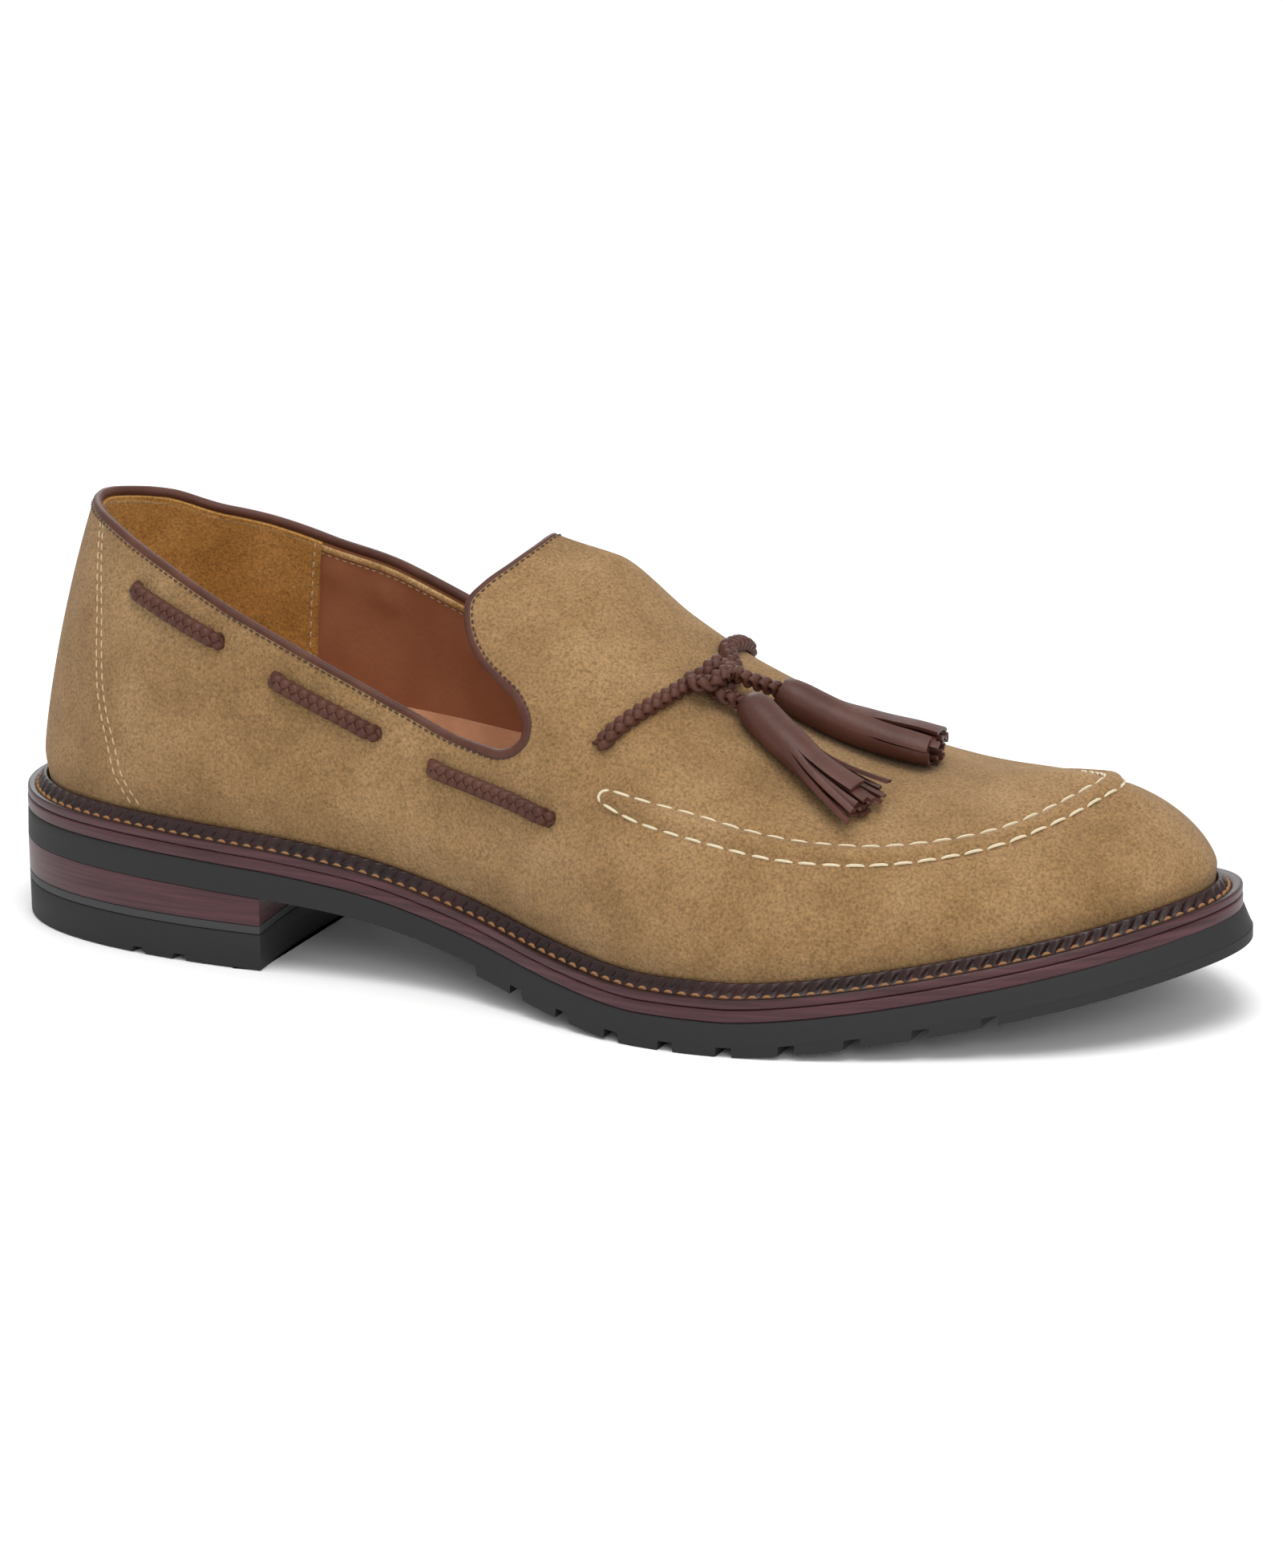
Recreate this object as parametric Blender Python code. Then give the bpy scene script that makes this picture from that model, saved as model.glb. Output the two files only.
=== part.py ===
"""Tassel loafer, right shoe: suede upper on a welted rubber sole, with braided lace and two tassels.

The model stands on the floor at z = 0 with its toe toward +X and its inner side toward +Y.
Lengths are in metres. Tables hold their lengths as shares of the sizes named in their headings.
"""

import math
from collections import namedtuple

import bmesh
import bpy
import numpy as np

for item in list(bpy.data.objects):
    bpy.data.objects.remove(item, do_unlink=True)

# Overall sizes

LENGTH = 0.303
BALL_WIDTH = 0.112
INSTEP = 0.070
HEEL_HEIGHT = 0.0313
BALL_HEIGHT = 0.0130
TOE_SPRING = 0.0175

# Thicknesses and trim sizes

WALL = 0.0021
WELT = 0.0022
WELT_REVEAL = 0.0052
WELT_TUCK = 0.0031
LIP_RISE = 0.0028
LIP_WIDTH = 0.0024
LIP_TIP_WIDTH = 0.0014
LIP_SHOULDER = 0.0022
MIDSOLE = 0.0030
SOLE = 0.0056
LUG = 0.0022
TOE_FLARE = 0.0023
INSOLE = 0.0046
BINDING = 0.0012
GAP = 0.0003

# Heel sizes

TOP_PIECE = 0.0088
RAND = 0.0020
BREAST = 0.0790
BREAST_HOLLOW = 0.0025
BREAST_BAND = 0.0060
HEEL_NOTCH = 0.0035
HEEL_NOTCH_DEPTH = 0.0016
HEEL_NOTCH_SHARES = (0.552, 0.703)

# Tread sizes

TREAD_START = 0.1364
TREAD_PITCH = 0.0140
TREAD_NOTCH = 0.0034
TREAD_NOTCHES = 9

# Lace and tassel sizes

LACE = 0.0038
LACE_HEIGHT = 0.0027
KNOT = 0.0132
LACE_END = 0.0034
LACE_END_LIFT = 0.0040
LACE_END_GAP = 0.0008
LACE_END_BEND = 0.0017
TASSEL_LENGTH = 0.0400
TASSEL_WIDTH = 0.0170

# Outline of the outsole, anticlockwise from the back of the heel along the outer side.
# Along is a share of LENGTH, across a share of BALL_WIDTH.

Corner = namedtuple("Corner", "along across")
OUTLINE = (
    Corner(0.000, 0.000),
    Corner(0.030, -0.195),
    Corner(0.110, -0.312),
    Corner(0.240, -0.355),
    Corner(0.380, -0.350),
    Corner(0.470, -0.405),
    Corner(0.560, -0.495),
    Corner(0.650, -0.525),
    Corner(0.740, -0.480),
    Corner(0.830, -0.385),
    Corner(0.920, -0.250),
    Corner(0.980, -0.075),
    Corner(1.000, 0.075),
    Corner(0.978, 0.250),
    Corner(0.910, 0.405),
    Corner(0.810, 0.487),
    Corner(0.700, 0.492),
    Corner(0.600, 0.415),
    Corner(0.480, 0.290),
    Corner(0.370, 0.248),
    Corner(0.240, 0.295),
    Corner(0.110, 0.312),
    Corner(0.030, 0.205),
)

# Shank curve: rise is the share of the heel's lift over the ball, sole the share of SOLE.

Shank = namedtuple("Shank", "along rise sole")
SHANK = (
    Shank(0.00, 1.000, 1.20),
    Shank(0.12, 0.980, 1.20),
    Shank(0.25, 0.900, 1.16),
    Shank(0.33, 0.760, 1.06),
    Shank(0.43, 0.440, 1.00),
    Shank(0.53, 0.135, 1.00),
    Shank(0.61, 0.000, 1.00),
    Shank(1.00, 0.000, 1.00),
)
SPRING_START = 0.672
SPRING_POWER = 1.40

# Margins: reveal is a share of WELT_REVEAL, flare a share of TOE_FLARE.

Margin = namedtuple("Margin", "along reveal flare")
MARGINS = (
    Margin(0.00, 1.08, 0.10),
    Margin(0.10, 0.96, 0.10),
    Margin(0.30, 0.92, 0.10),
    Margin(0.60, 1.08, 0.20),
    Margin(0.80, 1.12, 0.35),
    Margin(0.93, 1.18, 0.75),
    Margin(1.00, 1.20, 1.00),
)

# Ribs of the last, each from the feather line up to the spine.
# Spine and widest are heights over the seat as shares of INSTEP.
# Across and bulge are shares of BALL_WIDTH. A higher power keeps a rib's side upright for longer.

Rib = namedtuple("Rib", "along spine across widest bulge lateral medial")
RIBS = (
    Rib(0.00, 1.75, 0.000, 0.114, 0.004, 1.15, 1.15),
    Rib(0.06, 1.70, 0.000, 0.128, 0.011, 1.30, 1.30),
    Rib(0.16, 1.55, 0.002, 0.171, 0.023, 1.66, 1.78),
    Rib(0.25, 1.38, 0.008, 0.200, 0.030, 1.84, 2.10),
    Rib(0.36, 1.20, 0.018, 0.214, 0.032, 1.88, 2.15),
    Rib(0.46, 1.130, 0.030, 0.186, 0.027, 1.88, 2.00),
    Rib(0.50, 1.120, 0.035, 0.172, 0.024, 1.88, 1.98),
    Rib(0.55, 0.974, 0.040, 0.157, 0.020, 1.88, 1.95),
    Rib(0.61, 0.812, 0.044, 0.129, 0.016, 2.00, 2.00),
    Rib(0.68, 0.648, 0.045, 0.114, 0.014, 2.16, 2.00),
    Rib(0.76, 0.532, 0.046, 0.107, 0.013, 2.28, 1.96),
    Rib(0.85, 0.482, 0.056, 0.100, 0.011, 2.12, 2.04),
    Rib(0.93, 0.430, 0.065, 0.086, 0.005, 1.60, 1.60),
    Rib(1.00, 0.390, 0.070, 0.071, 0.002, 1.20, 1.20),
)
HEEL_POLE = 0.158
TOE_POLE = 0.865

# Topline: up is the share of the rib's length from the feather line, at each station of the quarter.
# Station is 0 at the back of the heel and 1 at the tip of the toe.

Topline = namedtuple("Topline", "station lateral medial")
TOPLINE = (
    Topline(0.000, 0.590, 0.590),
    Topline(0.025, 0.589, 0.588),
    Topline(0.060, 0.587, 0.583),
    Topline(0.130, 0.578, 0.573),
    Topline(0.203, 0.556, 0.549),
    Topline(0.295, 0.508, 0.553),
    Topline(0.357, 0.470, 0.578),
    Topline(0.422, 0.426, 0.562),
    Topline(0.457, 0.404, 0.512),
    Topline(0.475, 0.403, 0.484),
    Topline(0.485, 0.419, 0.478),
    Topline(0.490, 0.445, 0.495),
)

# Edge of the tongue from the throat corner up to its middle.

Edge = namedtuple("Edge", "station up")
TONGUE = (
    Edge(0.490, 0.445),
    Edge(0.4895, 0.479),
    Edge(0.481, 0.523),
    Edge(0.468, 0.551),
    Edge(0.457, 0.576),
    Edge(0.447, 0.610),
    Edge(0.439, 0.654),
    Edge(0.433, 0.715),
    Edge(0.436, 0.773),
    Edge(0.442, 0.849),
    Edge(0.444, 0.930),
    Edge(0.441, 1.000),
)
THROAT = TOPLINE[-1].station

# Lace stretches on the quarters, from one slit to the next.

Stretch = namedtuple("Stretch", "start start_up end end_up")
LATERAL_STRETCHES = (
    Stretch(0.211, 0.470, 0.302, 0.426),
    Stretch(0.342, 0.387, 0.409, 0.341),
    Stretch(0.440, 0.312, 0.515, 0.303),
)
MEDIAL_STRETCHES = (
    Stretch(0.211, 0.476, 0.302, 0.470),
    Stretch(0.342, 0.466, 0.409, 0.440),
    Stretch(0.440, 0.400, 0.515, 0.345),
)

# Places on the vamp: over is the share of the rib from the spine, negative toward the outer side.

Place = namedtuple("Place", "station over")
LATERAL_HOLE = Place(0.534, -0.485)
MEDIAL_HOLE = Place(0.560, 0.250)
KNOT_PLACE = Place(0.5745, -0.180)
TASSEL_LATERAL = (Place(0.603, -0.207), Place(0.689, -0.424))
TASSEL_MEDIAL = (Place(0.614, -0.070), Place(0.741, -0.012))

# Sections of a tassel, as shares of TASSEL_LENGTH and TASSEL_WIDTH. Lift is its middle over the vamp.

Section = namedtuple("Section", "along half_width half_height lift")
TASSEL = (
    Section(0.00, 0.130, 0.130, 0.245),
    Section(0.05, 0.225, 0.215, 0.250),
    Section(0.20, 0.250, 0.240, 0.262),
    Section(0.34, 0.235, 0.225, 0.258),
    Section(0.50, 0.290, 0.215, 0.245),
    Section(0.75, 0.400, 0.195, 0.225),
    Section(1.00, 0.490, 0.165, 0.205),
)

# Sections of the knot, as shares of KNOT, with its half length along the shoe and the room at its side.
# The exit of each lace end lies this far over from the knot's middle, as a share of the rib.

KNOT_REACH = 0.400
KNOT_SIDE = 0.400
KNOT_EXIT = 0.026

KNOT_SECTIONS = (
    Section(0.00, 0.160, 0.130, 0.290),
    Section(0.18, 0.320, 0.240, 0.290),
    Section(0.42, 0.340, 0.255, 0.290),
    Section(0.58, 0.340, 0.255, 0.290),
    Section(0.82, 0.320, 0.240, 0.290),
    Section(1.00, 0.160, 0.130, 0.290),
)


def material(name, color, roughness):
    """Principled finish of one piece."""
    made = bpy.data.materials.new(name)
    made.use_nodes = True
    shader = made.node_tree.nodes["Principled BSDF"]
    shader.inputs["Base Color"].default_value = (*color, 1.0)
    shader.inputs["Roughness"].default_value = roughness
    shader.inputs["Metallic"].default_value = 0.0
    return made


SUEDE = material("suede", (0.38, 0.235, 0.105), 0.95)
TRIM = material("trim_leather", (0.105, 0.042, 0.028), 0.45)
EDGE = material("edge_leather", (0.085, 0.032, 0.028), 0.40)
RUBBER = material("rubber", (0.035, 0.034, 0.036), 0.80)
GREY = material("grey_rand", (0.12, 0.12, 0.125), 0.60)
LINING = material("lining_leather", (0.47, 0.235, 0.11), 0.55)


def column(table, name, share):
    """Smooth curve without overshoot through one column of a table."""
    x = np.array([row[0] for row in table])
    y = np.array([getattr(row, name) for row in table])
    width = np.diff(x)
    rise = np.diff(y) / width
    slope = np.zeros(len(x))
    for k in range(1, len(x) - 1):
        if rise[k - 1] * rise[k] > 0.0:
            before = 2 * width[k] + width[k - 1]
            after = width[k] + 2 * width[k - 1]
            slope[k] = (before + after) / (before / rise[k - 1] + after / rise[k])
    slope[0] = rise[0]
    slope[-1] = rise[-1]
    share = np.clip(share, x[0], x[-1])
    k = np.clip(np.searchsorted(x, share, side="right") - 1, 0, len(x) - 2)
    u = (share - x[k]) / width[k]
    start = (1 + 2 * u) * (1 - u) ** 2 * y[k] + u * (1 - u) ** 2 * width[k] * slope[k]
    end = u * u * (3 - 2 * u) * y[k + 1] + u * u * (u - 1) * width[k] * slope[k + 1]
    return start + end


def closed_curve(points, count):
    """Closed cubic spline through points, its knots spaced by the root of each chord."""
    p = np.array(points, float)
    loop = np.vstack([p, p[:1]])
    step = np.sqrt(np.linalg.norm(np.diff(loop, axis=0), axis=1))
    knot = np.concatenate([[0.0], np.cumsum(step)])
    n = len(p)
    rows = np.zeros((n, n))
    right = np.zeros((n, 2))
    for i in range(n):
        rows[i, i - 1] += step[i - 1]
        rows[i, i] += 2 * (step[i - 1] + step[i])
        rows[i, (i + 1) % n] += step[i]
        right[i] = 6 * ((loop[i + 1] - loop[i]) / step[i] - (p[i] - p[i - 1]) / step[i - 1])
    bend = np.linalg.solve(rows, right)
    bend = np.vstack([bend, bend[:1]])
    t = np.linspace(0.0, knot[-1], count, endpoint=False)
    k = np.clip(np.searchsorted(knot, t, side="right") - 1, 0, n - 1)
    h = step[k][:, None]
    b = ((t - knot[k]) / step[k])[:, None]
    a = 1 - b
    curve = a * loop[k] + b * loop[k + 1]
    return curve + ((a**3 - a) * bend[k] + (b**3 - b) * bend[k + 1]) * h * h / 6


def open_curve(points, count):
    """Points at even shares of length along a smooth open curve through the given points."""
    p = np.array(points, float)
    step = np.sqrt(np.linalg.norm(np.diff(p, axis=0), axis=1))
    knot = np.concatenate([[0.0], np.cumsum(step)])
    slope = np.gradient(p, knot, axis=0)
    t = np.linspace(0.0, knot[-1], 40 * len(p))
    k = np.clip(np.searchsorted(knot, t, side="right") - 1, 0, len(p) - 2)
    h = step[k][:, None]
    u = ((t - knot[k]) / step[k])[:, None]
    fine = (1 + 2 * u) * (1 - u) ** 2 * p[k] + u * (1 - u) ** 2 * h * slope[k]
    fine = fine + u * u * (3 - 2 * u) * p[k + 1] + u * u * (u - 1) * h * slope[k + 1]
    run = np.concatenate([[0.0], np.cumsum(np.linalg.norm(np.diff(fine, axis=0), axis=1))])
    even = np.linspace(0.0, run[-1], count)
    return np.stack([np.interp(even, run, fine[:, k]) for k in range(p.shape[1])], axis=-1)


def inset(loop, depth):
    """Closed anticlockwise loop moved inward by a depth at each point."""
    along = np.roll(loop, -1, axis=0) - np.roll(loop, 1, axis=0)
    along = along / np.linalg.norm(along, axis=1)[:, None]
    inward = np.stack([-along[:, 1], along[:, 0]], axis=-1)
    return loop + inward * np.broadcast_to(depth, len(loop))[:, None]


def halves(loop):
    """Outer and inner half of a closed loop, both from heel to toe."""
    heel = loop[:, 0].argmin()
    toe = loop[:, 0].argmax()
    n = len(loop)
    outer = loop[np.arange(heel, toe + 1 + (n if toe < heel else 0)) % n]
    inner = loop[np.arange(toe, heel + 1 + (n if heel < toe else 0)) % n][::-1]
    return outer, inner


OUTER = closed_curve([(c.along * LENGTH, c.across * BALL_WIDTH) for c in OUTLINE], 1440)
OUTER_SHARE = OUTER[:, 0] / LENGTH
RIM = inset(OUTER, TOE_FLARE * column(MARGINS, "flare", OUTER_SHARE))
FEATHER = inset(RIM, WELT_REVEAL * column(MARGINS, "reveal", OUTER_SHARE))
CENTRE_X = (OUTER[:, 0].min() + OUTER[:, 0].max()) / 2
CENTRE_Y = (OUTER[:, 1].min() + OUTER[:, 1].max()) / 2


def seat(x):
    """Height of the welt's rim over the floor at a place along the shoe."""
    share = np.asarray(x) / LENGTH
    rise = (HEEL_HEIGHT - BALL_HEIGHT) * column(SHANK, "rise", share)
    ahead = np.clip((share - SPRING_START) / (1 - SPRING_START), 0.0, None)
    return BALL_HEIGHT + rise + TOE_SPRING * ahead**SPRING_POWER


def sole_under(x):
    """Height of the outsole's plain underside."""
    return seat(x) - WELT - MIDSOLE - SOLE * column(SHANK, "sole", np.asarray(x) / LENGTH)


def station_of(x, loop):
    """Station whose cosine spacing gives a place along the shoe."""
    low = loop[:, 0].min()
    high = loop[:, 0].max()
    return math.acos(1 - 2 * (x - low) / (high - low)) / math.pi


def rungs(loop, stations, shares):
    """Grid of plan points: a straight rung at each station, from the outer to the inner half."""
    outer, inner = halves(loop)
    low = loop[:, 0].min()
    high = loop[:, 0].max()
    x = low + (high - low) * (1 - np.cos(np.pi * np.asarray(stations))) / 2
    left = np.interp(x, outer[:, 0], outer[:, 1])
    right = np.interp(x, inner[:, 0], inner[:, 1])
    share = np.asarray(shares)[None, :]
    y = left[:, None] * (1 - share) + right[:, None] * share
    return np.stack([np.broadcast_to(x[:, None], y.shape), y], axis=-1)


FEATHER_HALVES = halves(FEATHER)
FEATHER_LOW = FEATHER[:, 0].min()
FEATHER_HIGH = FEATHER[:, 0].max()


def bulge(share, height):
    """Outward swell of a rib's lower part at a height over the seat."""
    level = column(RIBS, "widest", share) * INSTEP
    u = np.clip(height / level, 0.0, 1.0)
    return column(RIBS, "bulge", share) * BALL_WIDTH * u * u * (3 - 2 * u)


def rib(side, station):
    """Fine polyline of one rib, with its running length. Side is -1 on the outer half."""
    half = FEATHER_HALVES[0 if side < 0 else 1]
    share = (1 - math.cos(math.pi * station)) / 2
    x = FEATHER_LOW + (FEATHER_HIGH - FEATHER_LOW) * share
    y = np.interp(x, half[:, 0], half[:, 1])
    spine_share = HEEL_POLE + (TOE_POLE - HEEL_POLE) * share
    spine_x = spine_share * LENGTH
    spine_y = column(RIBS, "across", spine_share) * BALL_WIDTH
    top = seat(spine_x) + column(RIBS, "spine", spine_share) * INSTEP
    foot = seat(x) + GAP
    place = x / LENGTH
    level = column(RIBS, "widest", place) * INSTEP
    power = 2 / column(RIBS, "lateral" if side < 0 else "medial", place)
    reach = math.hypot(spine_x - x, spine_y - y)
    out = np.array([x - spine_x, y - spine_y]) / reach
    low = np.linspace(0.0, level, 20)[:-1]
    turn = np.linspace(0.0, 1.0, 160)
    turn = (3 * turn**2 - 2 * turn**3) * math.pi / 2
    widest = reach + column(RIBS, "bulge", place) * BALL_WIDTH
    crown = widest * np.cos(turn)
    crown[-1] = 0.0
    radius = np.concatenate([reach + bulge(place, low), crown])
    height = np.concatenate([foot + low, foot + level + (top - foot - level) * np.sin(turn) ** power])
    points = np.stack([spine_x + out[0] * radius, spine_y + out[1] * radius, height], axis=-1)
    run = np.concatenate([[0.0], np.cumsum(np.linalg.norm(np.diff(points, axis=0), axis=1))])
    return points, run


def on_rib(side, station, up):
    """Points at shares up a rib's length."""
    points, run = rib(side, station)
    at = np.asarray(up, float) * run[-1]
    return np.stack([np.interp(at, run, points[:, k]) for k in range(3)], axis=-1)


def on_vamp(place):
    """Point and outward normal at a place counted from the spine."""
    def point(station, over):
        side = -1 if over < 0 else 1
        return on_rib(side, station, 1 - abs(over))

    step = 0.004
    along = point(place.station + step, place.over) - point(place.station - step, place.over)
    across = point(place.station, place.over + step) - point(place.station, place.over - step)
    normal = np.cross(along, across)
    return point(place.station, place.over), normal / np.linalg.norm(normal)


ROOT = bpy.data.objects.new("loafer", None)
ROOT.location = (-CENTRE_X, -CENTRE_Y, 0.0)
bpy.context.scene.collection.objects.link(ROOT)


def finish_piece(name, mesh_work, finish, merge=1e-6):
    """Weld, turn the faces outward and add the piece to the shoe."""
    bmesh.ops.remove_doubles(mesh_work, verts=mesh_work.verts, dist=merge)
    bmesh.ops.dissolve_degenerate(mesh_work, edges=mesh_work.edges, dist=merge)
    bmesh.ops.recalc_face_normals(mesh_work, faces=mesh_work.faces)
    mesh = bpy.data.meshes.new(name)
    mesh_work.to_mesh(mesh)
    mesh_work.free()
    mesh.materials.append(finish)
    mesh.shade_smooth()
    mesh.set_sharp_from_angle(angle=math.radians(40))
    piece = bpy.data.objects.new(name, mesh)
    piece.parent = ROOT
    bpy.context.scene.collection.objects.link(piece)
    return piece


def slab(name, finish, top, top_z, under, under_z, raised=None, relief=0.0):
    """Plate between two grids of plan points. Raised cells of its underside stand down by relief."""
    work = bmesh.new()
    rows, columns = top_z.shape
    if raised is None:
        raised = np.zeros((rows - 1, columns - 1), bool)

    def grid(plan, height):
        return [[work.verts.new((*plan[i, j], height[i, j])) for j in range(columns)] for i in range(rows)]

    upper = grid(top, top_z)
    plain = grid(under, under_z)
    down = grid(under, under_z - relief) if raised.any() else None

    def level(i, j):
        inside = 0 <= i < rows - 1 and 0 <= j < columns - 1
        return down if inside and raised[i, j] else plain

    for i in range(rows - 1):
        for j in range(columns - 1):
            work.faces.new((upper[i][j], upper[i + 1][j], upper[i + 1][j + 1], upper[i][j + 1]))
            own = level(i, j)
            work.faces.new((own[i][j], own[i][j + 1], own[i + 1][j + 1], own[i + 1][j]))
            if i + 1 < rows - 1 and level(i + 1, j) is not own:
                a, b = (i + 1, j), (i + 1, j + 1)
                work.faces.new([plain[a[0]][a[1]], plain[b[0]][b[1]], down[b[0]][b[1]], down[a[0]][a[1]]])
            if j + 1 < columns - 1 and level(i, j + 1) is not own:
                a, b = (i, j + 1), (i + 1, j + 1)
                work.faces.new([plain[a[0]][a[1]], plain[b[0]][b[1]], down[b[0]][b[1]], down[a[0]][a[1]]])

    def side_wall(cell, ends, neighbours):
        own = level(*cell)
        (a, b) = ends
        wall = [upper[a[0]][a[1]], upper[b[0]][b[1]]]
        if own is down and level(*neighbours[1]) is plain and neighbours[1] != cell:
            wall.append(plain[b[0]][b[1]])
        wall.extend([own[b[0]][b[1]], own[a[0]][a[1]]])
        if own is down and level(*neighbours[0]) is plain and neighbours[0] != cell:
            wall.append(plain[a[0]][a[1]])
        work.faces.new(wall)

    for i in range(rows - 1):
        near = (max(i - 1, 0), min(i + 1, rows - 2))
        side_wall((i, 0), ((i, 0), (i + 1, 0)), ((near[0], 0), (near[1], 0)))
        last = columns - 2
        side_wall((i, last), ((i, last + 1), (i + 1, last + 1)), ((near[0], last), (near[1], last)))
    for j in range(columns - 1):
        near = (max(j - 1, 0), min(j + 1, columns - 2))
        side_wall((0, j), ((0, j), (0, j + 1)), ((0, near[0]), (0, near[1])))
        last = rows - 2
        side_wall((last, j), ((last + 1, j), (last + 1, j + 1)), ((last, near[0]), (last, near[1])))
    return finish_piece(name, work, finish)


def sweep(name, finish, path, normals, half_width, half_height, sides=8, closed=False):
    """Closed solid carried along a path, its section an ellipse across and along the normals."""
    path = np.asarray(path)
    if closed:
        along = np.roll(path, -1, axis=0) - np.roll(path, 1, axis=0)
    else:
        along = np.gradient(path, axis=0)
    along = along / np.linalg.norm(along, axis=1)[:, None]
    normals = normals - along * np.sum(normals * along, axis=1)[:, None]
    normals = normals / np.linalg.norm(normals, axis=1)[:, None]
    across = np.cross(along, normals)
    work = bmesh.new()
    angles = 2 * np.pi * (np.arange(sides) + 0.5) / sides
    rings = []
    for k in range(len(path)):
        ring = path[k] + np.outer(np.cos(angles) * half_width[k], across[k])
        ring = ring + np.outer(np.sin(angles) * half_height[k], normals[k])
        rings.append([work.verts.new(p) for p in ring])
    for k in range(len(path) if closed else len(path) - 1):
        ring, after = rings[k], rings[(k + 1) % len(rings)]
        for i in range(sides):
            work.faces.new((ring[i], ring[(i + 1) % sides], after[(i + 1) % sides], after[i]))
    if not closed:
        work.faces.new(rings[0])
        work.faces.new(rings[-1])
    return finish_piece(name, work, finish)


def build_outsole():
    """Rubber sole: plain waist, then rows of lugs at the edges and the middle, and a plain toe."""
    shares = (0.0, 0.16, 0.20, 0.48, 0.52, 0.80, 0.84, 1.0)
    notches = []
    for k in range(TREAD_NOTCHES):
        start = TREAD_START + (k + 1) * TREAD_PITCH - TREAD_NOTCH
        notches.append((start, start + TREAD_NOTCH))
    places = [TREAD_START]
    for start, end in notches:
        places.extend([start, end])
    tread = [station_of(x, OUTER) for x in places]
    heel = list(np.linspace(0.0, tread[0], 15))[:-1]
    toe = list(np.linspace(tread[-1], 1.0, 10))[1:]
    stations = heel + tread + toe
    top = rungs(RIM, stations, shares)
    under = rungs(OUTER, stations, shares)
    raised = np.zeros((len(stations) - 1, len(shares) - 1), bool)
    first = len(heel)
    for i in range(first, len(stations) - 1):
        in_tread = i < first + len(tread) - 1
        for j in range(len(shares) - 1):
            if in_tread:
                raised[i, j] = (i - first) % 2 == 0 and j % 2 == 0
            else:
                raised[i, j] = True
    top_z = seat(top[..., 0]) - WELT - MIDSOLE - GAP
    under_z = sole_under(under[..., 0])
    return slab("outsole", RUBBER, top, top_z, under, under_z, raised, LUG)


def heel_rungs(stations, shares, loop):
    """Rungs of the heel's outline, closed by the hollow breast."""
    plan = rungs(loop, stations, shares)
    share = np.asarray(shares)
    plan[-1, :, 0] -= BREAST_HOLLOW * 4 * share * (1 - share)
    return plan


def build_heel():
    """Burgundy lift, thin grey rand and rubber top piece with notches at its edges."""
    shares = (0.0, 0.18, 0.5, 0.82, 1.0)
    notches = []
    for share in HEEL_NOTCH_SHARES:
        notches.extend([share * BREAST, share * BREAST + HEEL_NOTCH])
    last = station_of(BREAST, OUTER)
    back = list(np.linspace(0.0, station_of(notches[0], OUTER), 8))
    stations = back + [station_of(x, OUTER) for x in notches[1:]]
    stations = stations + [station_of(BREAST - BREAST_BAND, OUTER), last]
    plan = heel_rungs(stations, shares, OUTER)
    flat = np.ones(plan.shape[:2])
    raised = np.ones((len(stations) - 1, len(shares) - 1), bool)
    for i in (len(back) - 1, len(back) + 1):
        raised[i, 0] = False
        raised[i, -1] = False
    lift_top = sole_under(plan[..., 0]) - GAP
    slab("heel_lift", EDGE, plan, lift_top, plan, flat * (TOP_PIECE + RAND + GAP))
    slab("heel_rand", GREY, plan, flat * (TOP_PIECE + RAND), plan, flat * (TOP_PIECE + GAP))
    slab("heel_top_piece", RUBBER, plan, flat * TOP_PIECE, plan, flat * HEEL_NOTCH_DEPTH,
         raised, HEEL_NOTCH_DEPTH)


def build_midsole():
    """Leather layer between welt and rubber."""
    plan = rungs(RIM, np.linspace(0.0, 1.0, 37), (0.0, 1.0))
    z = seat(plan[..., 0])
    return slab("midsole", EDGE, plan, z - WELT - GAP, plan, z - WELT - MIDSOLE)


def build_insole():
    """Insole inside the welt's ring, a little over the rim."""
    loop = inset(FEATHER, WELT_TUCK + GAP)
    plan = rungs(loop, np.linspace(0.0, 1.0, 31), (0.0, 1.0))
    z = seat(plan[..., 0])
    return slab("insole", LINING, plan, z - WELT + INSOLE, plan, z - WELT)


def loop_points(loop, stations):
    """Points of a loop at the stations of its outer half, then back along its inner half."""
    outer, inner = halves(loop)
    low = loop[:, 0].min()
    high = loop[:, 0].max()
    x = low + (high - low) * (1 - np.cos(np.pi * stations)) / 2
    out = np.stack([x, np.interp(x, outer[:, 0], outer[:, 1])], axis=-1)
    back = np.stack([x, np.interp(x, inner[:, 0], inner[:, 1])], axis=-1)[::-1][1:-1]
    return np.vstack([out, back])


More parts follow.
